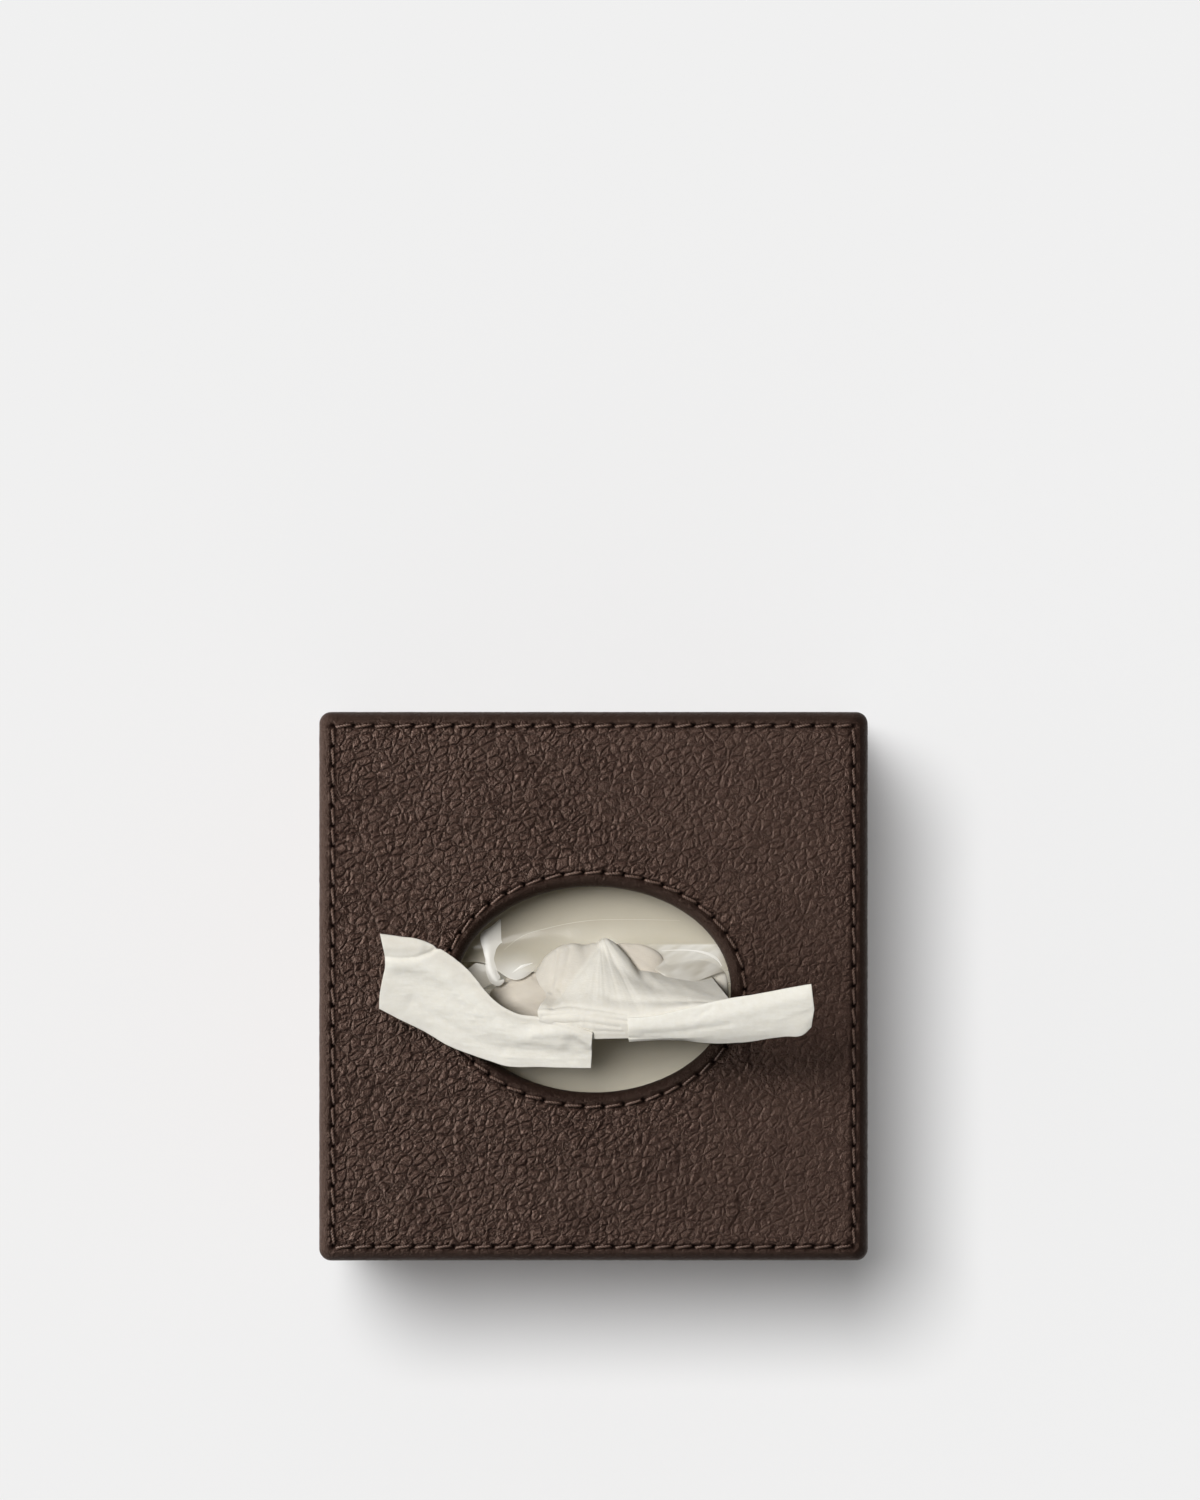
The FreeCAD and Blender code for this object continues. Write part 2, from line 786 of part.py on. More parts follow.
front_ledge = make_ledge("front_ledge", 0, cavity_half * 2)
right_ledge = make_ledge("right_ledge", 1, ledge_half * 2)
back_ledge = make_ledge("back_ledge", 2, cavity_half * 2)
left_ledge = make_ledge("left_ledge", 3, ledge_half * 2)
ledge_magnets = make_bars(
    "ledge_magnets",
    ledge_half + size.magnet_inset + size.magnet_width,
    size.magnet_width,
    size.magnet_length,
    base_top,
    size.magnet_height,
)

strike_recesses = make_bars(
    "strike_recesses",
    base_board_half - size.strike_margin + size.glue_gap,
    size.strike_width + size.glue_gap * 2,
    size.magnet_length + size.glue_gap * 2,
    base_board_top - size.strike_gauge,
    size.strike_gauge + size.overrun,
)
base_blank = make_base_blank()
base_board = cut("base_board", base_blank, strike_recesses)
base_lining = make_base_lining()
base_leather = make_base_leather(base_blank, base_lining)
strike_plates = make_bars(
    "strike_plates",
    base_board_half - size.strike_margin,
    size.strike_width,
    size.magnet_length,
    base_board_top - size.strike_gauge,
    size.strike_gauge,
)

carton = make_carton()
window_film = make_window_film()
tissue_stack = make_tissue_stack()
pulled_tissue = make_pulled_tissue()

pieces = [
    top_board, *wall_boards, top_lining, side_lining, edge_stitching, rim_stitching, top_leather, side_leather,
    front_ledge, back_ledge, left_ledge, right_ledge, ledge_magnets,
    base_board, base_lining, base_leather, strike_plates,
    carton, window_film, tissue_stack, pulled_tissue,
]

# Checks before anything is written

doc.recompute()
for thing in doc.Objects:
    if "Invalid" in thing.State or "Error" in thing.State:
        raise RuntimeError(f"{thing.Name} did not build")
for piece in pieces:
    if piece.Shape.isNull() or not piece.Shape.isValid() or piece.Shape.Volume <= 0:
        raise RuntimeError(f"{piece.Label} has no sound shape")

os.makedirs("parts", exist_ok=True)
for piece in pieces:
    piece.Shape.exportStep(f"parts/{piece.Label}.step")
    print(piece.Label, len(piece.Shape.Solids), round(piece.Shape.Volume, 1))
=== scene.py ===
import math

import bpy
import numpy as np
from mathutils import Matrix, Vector


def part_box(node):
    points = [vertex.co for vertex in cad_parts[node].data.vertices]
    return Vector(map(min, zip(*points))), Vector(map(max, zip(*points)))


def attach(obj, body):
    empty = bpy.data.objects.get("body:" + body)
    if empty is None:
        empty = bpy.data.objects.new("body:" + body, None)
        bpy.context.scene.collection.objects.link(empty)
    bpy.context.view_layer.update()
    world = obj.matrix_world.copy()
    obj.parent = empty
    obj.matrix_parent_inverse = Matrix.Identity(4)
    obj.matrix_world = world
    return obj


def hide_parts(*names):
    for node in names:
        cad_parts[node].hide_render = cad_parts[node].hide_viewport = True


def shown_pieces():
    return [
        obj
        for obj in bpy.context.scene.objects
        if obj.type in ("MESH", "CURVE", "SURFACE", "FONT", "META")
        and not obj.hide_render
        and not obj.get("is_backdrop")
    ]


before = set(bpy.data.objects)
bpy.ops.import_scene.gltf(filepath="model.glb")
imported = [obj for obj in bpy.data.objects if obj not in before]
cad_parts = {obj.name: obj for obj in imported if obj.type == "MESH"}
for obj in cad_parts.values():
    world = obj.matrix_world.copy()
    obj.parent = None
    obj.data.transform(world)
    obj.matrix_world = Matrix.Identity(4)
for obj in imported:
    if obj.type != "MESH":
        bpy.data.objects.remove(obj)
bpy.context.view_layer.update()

# A square leather tissue box cover seen from straight above, with its carton and the sheet pulled out of it.
# Lengths below are in millimetres in the CAD frame, and become metres where a mesh is made.

MM = 0.001
# Farther than any point is from what it is measured to
FAR = 99.0
# The rings that close a surface stop at this share of their size
MIDDLE = 0.004

# The cover
HALF = 65.0
GIRTH = 515.2
TOP = 140.0
SEAM = 135.0
FOOT = 0.5
EDGE_RADIUS = 2.4
CORNER_RADIUS = 2.8
SEAM_RADIUS = 0.7
CAVITY_INSET = 5.0
HEM = 7.0
SKIRT_TOP = 10.5
# The oval opening
OVAL = np.array([32.55, 24.4])
OVAL_Y = -0.8
# The stitching
EDGE_ROW_INSET = 3.3
EDGE_STITCHES = 26
RIM_ROW_OFFSET = 3.4
RIM_STITCHES = 42
THREAD_END_GAP = 0.14
# The base, the carton and its film
BASE_HALF = 59.5
BASE_CORNER = 1.8
BASE_TOP = 5.0
CARTON_HALF = 56.0
CARTON_TOP = 131.0
CARTON_GAUGE = 0.5
CARTON_FOLD = 0.42
WINDOW = np.array([38.0, 30.0])
FILM_HALF = np.array([43.0, 35.0])
FILM_TOP = 130.4
SLIT = np.array([35.0, 5.5])
SLIT_Y = 3.0
STACK_HALF = 53.5
STACK_TOP = 115.5
# Points round the pieces that are made of rings
TOP_RING = 1440
WALL_RING = 960
FILM_RING = 800
PLAIN_RING = 480
SMALL_RING = 320


# Curves, fields and noise


def smoothstep(low, high, x):
    share = np.clip((x - low) / (high - low), 0, 1)
    return share * share * (3 - 2 * share)


def bell(distance, width):
    return np.exp(-((distance / width) ** 2))


def walked(line):
    """How far along a line each of its points is."""
    return np.r_[0, np.cumsum(np.linalg.norm(np.diff(line, axis=0), axis=1))]


def shares_of(line, shares):
    """The points at some shares of the way along a flat line."""
    way = walked(line)
    return np.stack([np.interp(shares * way[-1], way, line[:, i]) for i in range(2)], axis=1)


def arc(radius, steps):
    """A quarter turn in steps after its start: each angle, with radius (1 - sin) and radius (1 - cos)."""
    for turn in np.linspace(0, math.pi / 2, steps + 1)[1:]:
        yield turn, radius * (1 - math.sin(turn)), radius * (1 - math.cos(turn))


def spline(points, count):
    """A smooth line through points, as count points spaced evenly along its chords."""
    points = np.asarray(points, float)
    way = walked(points)
    slope = np.gradient(points, way, axis=0)
    at = np.linspace(0, way[-1], count)
    i = np.clip(np.searchsorted(way, at, side="right") - 1, 0, len(way) - 2)
    run = (way[i + 1] - way[i])[:, None]
    s = (at - way[i])[:, None] / run
    return (
        (2 * s**3 - 3 * s**2 + 1) * points[i]
        + (s**3 - 2 * s**2 + s) * run * slope[i]
        + (3 * s**2 - 2 * s**3) * points[i + 1]
        + (s**3 - s**2) * run * slope[i + 1]
    )


def loft(rows, across, along):
    """A grid of points on a smooth surface through rows of points."""
    drawn = np.array([spline(row, across) for row in rows])
    return spline(drawn.reshape(len(rows), -1), along).reshape(along, across, 3)


def value_noise(x, y, seed):
    """Smooth noise from -1 to 1, with about one swing per unit."""
    table = np.random.default_rng(seed).uniform(-1, 1, (256, 256))
    x0 = np.floor(x).astype(int)
    y0 = np.floor(y).astype(int)
    fx = smoothstep(0, 1, x - x0)
    fy = smoothstep(0, 1, y - y0)

    def corner(dx, dy):
        return table[(x0 + dx) % 256, (y0 + dy) % 256]

    near = corner(0, 0) * (1 - fx) + corner(1, 0) * fx
    far = corner(0, 1) * (1 - fx) + corner(1, 1) * fx
    return near * (1 - fy) + far * fy


def cells(x, y, angle, stretch, seed):
    """Distances to the nearest and next of points, one to a unit square, drawn out along an angle."""
    table = np.random.default_rng(seed).uniform(0.08, 0.92, (256, 256, 2))
    x0 = np.floor(x).astype(int)
    y0 = np.floor(y).astype(int)
    cos = np.cos(angle)
    sin = np.sin(angle)
    first = np.full(x.shape, 9.0)
    second = np.full(x.shape, 9.0)
    for dx in range(-2, 3):
        for dy in range(-2, 3):
            spot = table[(x0 + dx) % 256, (y0 + dy) % 256]
            ax = x0 + dx + spot[..., 0] - x
            ay = y0 + dy + spot[..., 1] - y
            away = np.hypot((ax * cos + ay * sin) / stretch, (ay * cos - ax * sin) * stretch)
            second = np.minimum(second, np.maximum(first, away))
            first = np.minimum(first, away)
    return first, second


# Meshes


def grid_faces(rows, columns, closed):
    """Quads of a grid of points, row by row; closed joins the last column to the first."""
    last = columns if closed else columns - 1
    row, column = np.meshgrid(np.arange(rows - 1), np.arange(last), indexing="ij")
    near = row * columns
    far = near + columns
    after = (column + 1) % columns
    return np.stack([near + column, near + after, far + after, far + column], axis=-1).reshape(-1, 4)


def new_piece(name, points, faces, body, material, fields=None):
    """A smooth mesh piece from points in millimetres, with its fields as vertex attributes."""
    points = np.asarray(points, float).reshape(-1, 3) * MM
    mesh = bpy.data.meshes.new(name)
    mesh.vertices.add(len(points))
    mesh.vertices.foreach_set("co", points.astype(np.float32).ravel())
    mesh.loops.add(faces.size)
    mesh.loops.foreach_set("vertex_index", faces.astype(np.int32).ravel())
    mesh.polygons.add(len(faces))
    mesh.polygons.foreach_set("loop_start", np.arange(0, faces.size, faces.shape[1], dtype=np.int32))
    mesh.update(calc_edges=True)
    mesh.shade_smooth()
    for field, values in (fields or {}).items():
        layer = mesh.attributes.new(field, "FLOAT", "POINT")
        layer.data.foreach_set("value", np.asarray(values, np.float32).ravel())
    mesh.validate()
    piece = bpy.data.objects.new(name, mesh)
    bpy.context.collection.objects.link(piece)
    piece.data.materials.append(material)
    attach(piece, body)
    return piece


def new_skin(name, grid, body, material, fields=None, flipped=False):
    """A piece from a grid of points whose rows are rings."""
    faces = grid_faces(grid.shape[0], grid.shape[1], True)
    return new_piece(name, grid, faces[:, ::-1] if flipped else faces, body, material, fields)


def join(grids):
    """The points and faces of several grids in one mesh, each given with whether its rows are rings."""
    faces = []
    count = 0
    for grid, closed in grids:
        rows, columns = grid.shape[:2]
        faces.append(grid_faces(rows, columns, closed) + count)
        count += rows * columns
    return np.concatenate([grid.reshape(-1, 3) for grid, closed in grids]), np.concatenate(faces)


def grid_normals(grid, closed):
    """Unit normals of a grid of points."""
    if closed:
        wide = np.concatenate([grid[:, -1:], grid, grid[:, :1]], axis=1)
        across = (wide[:, 2:] - wide[:, :-2]) / 2
    else:
        across = np.gradient(grid, axis=1)
    normal = np.cross(across, np.gradient(grid, axis=0))
    return normal / np.maximum(np.linalg.norm(normal, axis=-1, keepdims=True), 1e-12)


def raised(grid, height, closed):
    """A grid moved along its normals."""
    return grid + grid_normals(grid, closed) * height[..., None]


def square_ring(half, corner, count):
    """Points spaced evenly along a rounded square, anticlockwise from the middle of its back side."""
    inner = half - corner
    bend = np.linspace(0, math.pi / 2, 13)
    line = [np.array([[0.0, half]])]
    for quarter in range(4):
        turn = math.pi / 2 * (quarter + 1)
        middle = inner * math.sqrt(2) * np.array([math.cos(turn + math.pi / 4), math.sin(turn + math.pi / 4)])
        line.append(middle + corner * np.stack([np.cos(turn + bend), np.sin(turn + bend)], axis=1))
    line = np.concatenate(line + [line[0]])
    return shares_of(line, np.arange(count) / count)


class Oval:
    """The offsets of an ellipse, at the points that face a ring round it."""

    def __init__(self, semi, middle_y, ring):
        angle = np.arctan2((ring[:, 1] - middle_y) / semi[1], ring[:, 0] / semi[0])
        unit = np.stack([np.cos(angle), np.sin(angle)], axis=1)
        self.line = unit * semi + [0, middle_y]
        normal = unit / semi
        self.normal = normal / np.linalg.norm(normal, axis=1, keepdims=True)

    def offset(self, distance):
        return self.line + self.normal * distance


def at_height(ring, height):
    return np.column_stack([ring, np.full(len(ring), height)])


def inset_ring(ring, half, inset, height):
    """A ring of a half width, drawn in by an inset, at a height."""
    return at_height(ring * (half - inset) / half, height)


def xy(grid):
    return grid[..., 0], grid[..., 1]


# Materials


def new_material(name):
    material = bpy.data.materials.new(name)
    material.use_nodes = True
    material.node_tree.nodes.clear()
    return material


def add(material, kind, inputs=None, **settings):
    """A node of a material, with its settings, and with values or other nodes' sockets on its inputs."""
    tree = material.node_tree
    node = tree.nodes.new("ShaderNode" + kind)
    for key, value in settings.items():
        setattr(node, key, value)
    for key, value in (inputs or {}).items():
        if isinstance(value, bpy.types.NodeSocket):
            tree.links.new(value, node.inputs[key])
        else:
            node.inputs[key].default_value = value
    return node


def mix_colour(material, share, low, high):
    return add(material, "Mix", {0: share, 6: low, 7: high}, data_type="RGBA").outputs[2]


def map_range(material, value, low, high, to_low, to_high):
    inputs = {"Value": value, "From Min": low, "From Max": high, "To Min": to_low, "To Max": to_high}
    return add(material, "MapRange", inputs).outputs["Result"]


def blend(material, value, low, high, first, second, most=1):
    """The first colour where a value is low, going over to the second, or most of it, where it is high."""
    return mix_colour(material, map_range(material, value, low, high, 0, most), first, second)


def math_node(material, operation, first, second):
    return add(material, "Math", {0: first, 1: second}, operation=operation).outputs[0]


def noise(material, scale, detail, roughness, squeeze=None):
    """Noise in a piece's own space, which can be squeezed along its axes."""
    vector = add(material, "TexCoord").outputs["Object"]
    if squeeze:
        vector = add(material, "Mapping", {"Vector": vector, "Scale": squeeze}).outputs["Vector"]
    inputs = {"Vector": vector, "Scale": scale, "Detail": detail, "Roughness": roughness}
    return add(material, "TexNoise", inputs).outputs["Fac"]


def field(material, name):
    return add(material, "Attribute", attribute_name=name).outputs["Fac"]


def bump(material, height, distance, strength):
    inputs = {"Height": height, "Distance": distance, "Strength": strength}
    return add(material, "Bump", inputs).outputs["Normal"]


def surface(material, shader):
    add(material, "OutputMaterial", {"Surface": shader})
    return material


def painted(material, **inputs):
    """A material with a principled surface; an underscore stands for a space in an input's name."""
    named = {key.replace("_", " "): value for key, value in inputs.items()}
    return surface(material, add(material, "BsdfPrincipled", named).outputs["BSDF"])


def rgb(red, green, blue):
    """A colour from its 0 to 255 values."""
    def linear(value):
        value /= 255
        return value / 12.92 if value <= 0.04045 else ((value + 0.055) / 1.055) ** 2.4
    return (linear(red), linear(green), linear(blue), 1.0)


def pebbles(material, scale, lie, stretch, warp):
    """How far a point is from the edge of its pebble, in pebbles. They are drawn out along the angle they
    lie at, and their edges wander by a warp."""
    def vector_math(operation, inputs):
        return add(material, "VectorMath", inputs, operation=operation).outputs["Vector"]

    place = add(material, "TexCoord").outputs["Object"]
    wander = add(material, "TexNoise", {"Vector": place, "Scale": 420.0, "Detail": 2.0}).outputs["Color"]
    wander = vector_math("SUBTRACT", {0: wander, 1: (0.5, 0.5, 0.5)})
    wander = vector_math("SCALE", {0: wander, "Scale": warp})
    place = vector_math("ADD", {0: place, 1: wander})
    inputs = {"Vector": place, "Rotation": (0.0, 0.0, math.radians(lie)), "Scale": (stretch, 1.0, 1.0)}
    laid = add(material, "Mapping", inputs, vector_type="TEXTURE").outputs["Vector"]
    inputs = {"Vector": laid, "Scale": scale}
    return add(material, "TexVoronoi", inputs, feature="DISTANCE_TO_EDGE").outputs["Distance"]


def leather_material():
    """Dark brown pebbled calf: lighter crowns, fine pores and a soft shine, with painted shade in its
    creases, grooves and needle holes, and its rolled edges dyed dark, which also paints their shade.
    """
    m = new_material("brown_leather")
    crease = field(m, "crease")
    edge_dye_and_shade = field(m, "edge_dye_and_shade")
    mottle = noise(m, 90, 4, 0.6)
    fine = noise(m, 2000, 4, 0.7)
    calm = math_node(m, "MULTIPLY", map_range(m, edge_dye_and_shade, 0.0, 0.6, 1.0, 0.15), field(m, "relief"))
    large = pebbles(m, 530.0, 30.0, 1.4, 0.0012)
    small = pebbles(m, 1300.0, 50.0, 1.2, 0.0008)
    crown = blend(m, mottle, 0.35, 0.65, rgb(66, 50, 44), rgb(74, 57, 50))
    crown = blend(m, fine, 0.35, 0.65, crown, rgb(52, 36, 30), 0.4)
    # painted shade: the colour is darkened along the pebbles' edges and in the creases, grooves and needle
    # holes
    lines = math_node(m, "MULTIPLY", map_range(m, large, 0.0, 0.13, 0.9, 0.0), calm)
    colour = mix_colour(m, lines, crown, rgb(30, 19, 15))
    colour = mix_colour(m, crease, colour, rgb(26, 16, 13))
    # the rolled edges take a near-black brown: dyed, and painted shade as well
    colour = mix_colour(m, edge_dye_and_shade, colour, rgb(29, 18, 14))
    domes = math_node(m, "ADD", map_range(m, large, 0.0, 0.22, 0, 1), map_range(m, small, 0.0, 0.2, 0, 0.35))
    height = math_node(m, "ADD", math_node(m, "MULTIPLY", domes, calm), math_node(m, "MULTIPLY", fine, 0.7))
    worn = math_node(m, "ADD", math_node(m, "ADD", fine, crease), math_node(m, "MULTIPLY", edge_dye_and_shade, 0.5))
    roughness = map_range(m, worn, 0.3, 1.4, 0.26, 0.6)
    return painted(
        m, Base_Color=colour, Roughness=roughness, Specular_IOR_Level=0.36,
        Specular_Tint=(1.0, 0.66, 0.5, 1.0), Normal=bump(m, height, 0.0006, 0.95),
    )


def flecked_material(name, flecking, tones, relief, **inputs):
    """A material in two tones, with its noise and its bump given as in their own calls."""
    m = new_material(name)
    flecks = noise(m, *flecking)
    colour = blend(m, flecks, 0.3, 0.7, *tones)
    return painted(m, Base_Color=colour, Normal=bump(m, flecks, *relief), **inputs)


def suede_material():
    m = new_material("suede_lining")
    nap = noise(m, 700, 5, 0.7)
    cloud = noise(m, 55, 3, 0.6)
    colour = blend(m, cloud, 0.3, 0.7, rgb(88, 66, 54), rgb(112, 87, 72))
    colour = blend(m, nap, 0.35, 0.65, colour, rgb(72, 53, 43), 0.5)
    return painted(
        m, Base_Color=colour, Roughness=0.95, Specular_IOR_Level=0.1, Sheen_Weight=0.35, Sheen_Roughness=0.5,
        Normal=bump(m, nap, 0.0003, 0.8),
    )


def beech_material():
    m = new_material("beech")
    along = (1.0, 1.0, 9.0)
    rings = noise(m, 130, 4, 0.6, along)
    flecks = noise(m, 900, 2, 0.5, along)
    colour = blend(m, rings, 0.3, 0.7, rgb(196, 160, 121), rgb(218, 187, 150))
    colour = blend(m, flecks, 0.55, 0.75, colour, rgb(163, 122, 86), 0.6)
    return painted(m, Base_Color=colour, Roughness=0.6, Normal=bump(m, rings, 0.0002, 0.4))


def metal_material(name, colour, low, high):
    m = new_material(name)
    scuffs = noise(m, 420, 5, 0.7)
    return painted(
        m, Base_Color=colour, Metallic=1.0, Roughness=map_range(m, scuffs, 0.3, 0.7, low, high),
        Normal=bump(m, scuffs, 0.00005, 0.4),
    )


def paperboard_material():
    m = new_material("carton_board")
    fibre = noise(m, 1500, 4, 0.65)
    cloud = noise(m, 40, 2, 0.5)
    colour = blend(m, cloud, 0.3, 0.7, rgb(222, 217, 205), rgb(231, 227, 217))
    colour = mix_colour(m, field(m, "crease"), colour, rgb(196, 189, 175))
    return painted(m, Base_Color=colour, Roughness=0.62, Normal=bump(m, fibre, 0.00008, 0.5))


def tissue_material(name, light, shade, shaded_ply_tone=None):
    """Soft creped paper: fine crepe lines, faint fibres, and a duller tone where a ply lies over the dark,
    which also paints the shade on the sheet's deeper layers and folds.
    """
    m = new_material(name)
    crepe_lines = noise(m, 2400, 3, 0.6, (0.35, 1.0, 1.0))
    fibre = noise(m, 650, 4, 0.65)
    colour = blend(m, fibre, 0.3, 0.7, shade, light)
    if shaded_ply_tone:
        # painted shade: the ply field dulls the sheet on its deeper layers and along a fold line
        colour = mix_colour(m, field(m, "ply"), shaded_ply_tone, colour)
    height = math_node(m, "ADD", crepe_lines, math_node(m, "MULTIPLY", fibre, 0.7))
    return painted(
        m, Base_Color=colour, Roughness=0.92, Specular_IOR_Level=0.15, Subsurface_Weight=0.25,
        Subsurface_Radius=(0.6, 0.55, 0.45), Subsurface_Scale=0.0008, Normal=bump(m, height, 0.00009, 0.55),
    )


def film_material():
    """Thin clear film: it shows what lies under it and shines, it clouds white where it is creased, and
    highlights and reflections are painted on it in white.
    """
    m = new_material("clear_film")
    ripple = noise(m, 160, 2, 0.5)
    normal = bump(m, ripple, 0.0003, 0.2)
    clear = add(m, "BsdfTransparent", {"Color": (0.93, 0.93, 0.91, 1.0)}).outputs["BSDF"]
    shiny = {"Color": (1.0, 1.0, 1.0, 1.0), "Roughness": 0.09, "Normal": normal}
    gloss = add(m, "BsdfGlossy", shiny).outputs["BSDF"]
    edge = add(m, "LayerWeight", {"Blend": 0.22, "Normal": normal}).outputs["Fresnel"]
    shine = add(m, "MixShader", {0: edge, 1: clear, 2: gloss}).outputs["Shader"]
    # the film's whiteness field: clouding from its creases, and painted highlights and reflections
    haze_and_painted_shine = field(m, "haze_and_painted_shine")
    colour = blend(m, haze_and_painted_shine, 0.45, 0.85, rgb(203, 193, 172), rgb(238, 235, 227))
    milky_and_shining = {"Base Color": colour, "Roughness": 0.3, "Specular IOR Level": 0.5}
    milk_and_painted_shine = add(m, "BsdfPrincipled", milky_and_shining).outputs["BSDF"]
    return surface(m, add(m, "MixShader", {0: haze_and_painted_shine, 1: shine, 2: milk_and_painted_shine}).outputs["Shader"])


LEATHER = leather_material()
THREAD = flecked_material(
    "waxed_thread", (2600, 2, 0.6), (rgb(64, 46, 38), rgb(116, 94, 82)), (0.0001, 0.6),
    Roughness=0.5, Specular_IOR_Level=0.45,
)
SUEDE = suede_material()
FIBREBOARD = flecked_material(
    "fibreboard", (1400, 4, 0.7), (rgb(126, 105, 84), rgb(163, 142, 117)), (0.0002, 0.5), Roughness=0.85,
)
BEECH = beech_material()
MAGNET = metal_material("nickel", (0.62, 0.61, 0.58, 1.0), 0.25, 0.4)
STEEL = metal_material("zinc_steel", (0.55, 0.55, 0.56, 1.0), 0.32, 0.5)
PAPERBOARD = paperboard_material()
# the third colour is the painted shade of the sheet's deeper layers
TISSUE = tissue_material("pulled_sheet", rgb(234, 230, 219), rgb(228, 223, 210), rgb(192, 181, 166))
STACKED = tissue_material("stacked_sheets", rgb(238, 233, 218), rgb(232, 226, 210))
FILM = film_material()


# Leather and linings


def grain(x, y, angle, coarse):
    """The pebbles of the leather at points of its skin: their height, and how deep in a crease each point is,
    which darkens the colour as painted shade.
    coarse goes from 0, fine flat scales, to 1, full pebbles."""
    tight = 2.7
    broad = 11.0
    warp_x = x + 0.5 * value_noise(x / tight, y / tight, 11) + 1.3 * value_noise(x / broad, y / broad, 12)
    warp_y = y + 0.5 * value_noise(x / tight, y / tight, 13) + 1.3 * value_noise(x / broad, y / broad, 14)
    large = 2.5
    small = 1.2
    first, second = cells(warp_x / large, warp_y / large, angle, 1.3, 15)
    valley = bell(second - first, 0.17)
    low, high = cells(warp_x / small, warp_y / small, angle + 0.4, 1.15, 16)
    dimple = bell(high - low, 0.22)
    along = x * np.cos(angle) + y * np.sin(angle)
    across = y * np.cos(angle) - x * np.sin(angle)
    drawn = bell(value_noise(along / 8.5, across / 3.0, 17), 0.06)
    fade = 0.75 + 0.5 * value_noise(x / 6, y / 6, 18)
    height = (
        -(0.02 + 0.05 * coarse) * valley
        - 0.03 * coarse * dimple * fade
        - 0.12 * coarse * drawn
        + (0.01 + 0.02 * coarse) * (1 - np.minimum(low, 1) ** 2)
        + 0.02 * (1 - np.minimum(first, 1) ** 2)
        + 0.03 * value_noise(x / 0.7, y / 0.7, 19)
    )
    # painted shade: the crease value darkens the colour in the valleys, dimples and drawn creases
    crease = np.clip(0.18 * valley + 0.1 * coarse * dimple * fade + 0.25 * coarse * drawn, 0, 1)
    return height, crease


def edge_holes():
    """The needle holes of the straight rows round the top."""
    half = HALF - EDGE_ROW_INSET
    reach = half - THREAD_END_GAP
    along = np.linspace(-reach, reach, EDGE_STITCHES + 1)
    side = np.full_like(along, half)
    rows = ((along, -side), (side, along), (-along, side), (-side, -along))
    return [np.stack(row, axis=1) for row in rows]


def rim_holes():
    """The needle holes of the row round the opening, spaced evenly."""
    turn = np.linspace(0, 2 * math.pi, 20001)
    line = np.stack([np.cos(turn), np.sin(turn)], axis=1) * (OVAL + RIM_ROW_OFFSET) + [0, OVAL_Y]
    return shares_of(line, np.arange(RIM_STITCHES + 1) / RIM_STITCHES)


def nearest(points, holes):
    """How far each point is from the nearest hole."""
    away = np.full(points.shape[:-1], FAR)
    for hole in holes:
        away = np.minimum(away, np.hypot(points[..., 0] - hole[0], points[..., 1] - hole[1]))
    return away


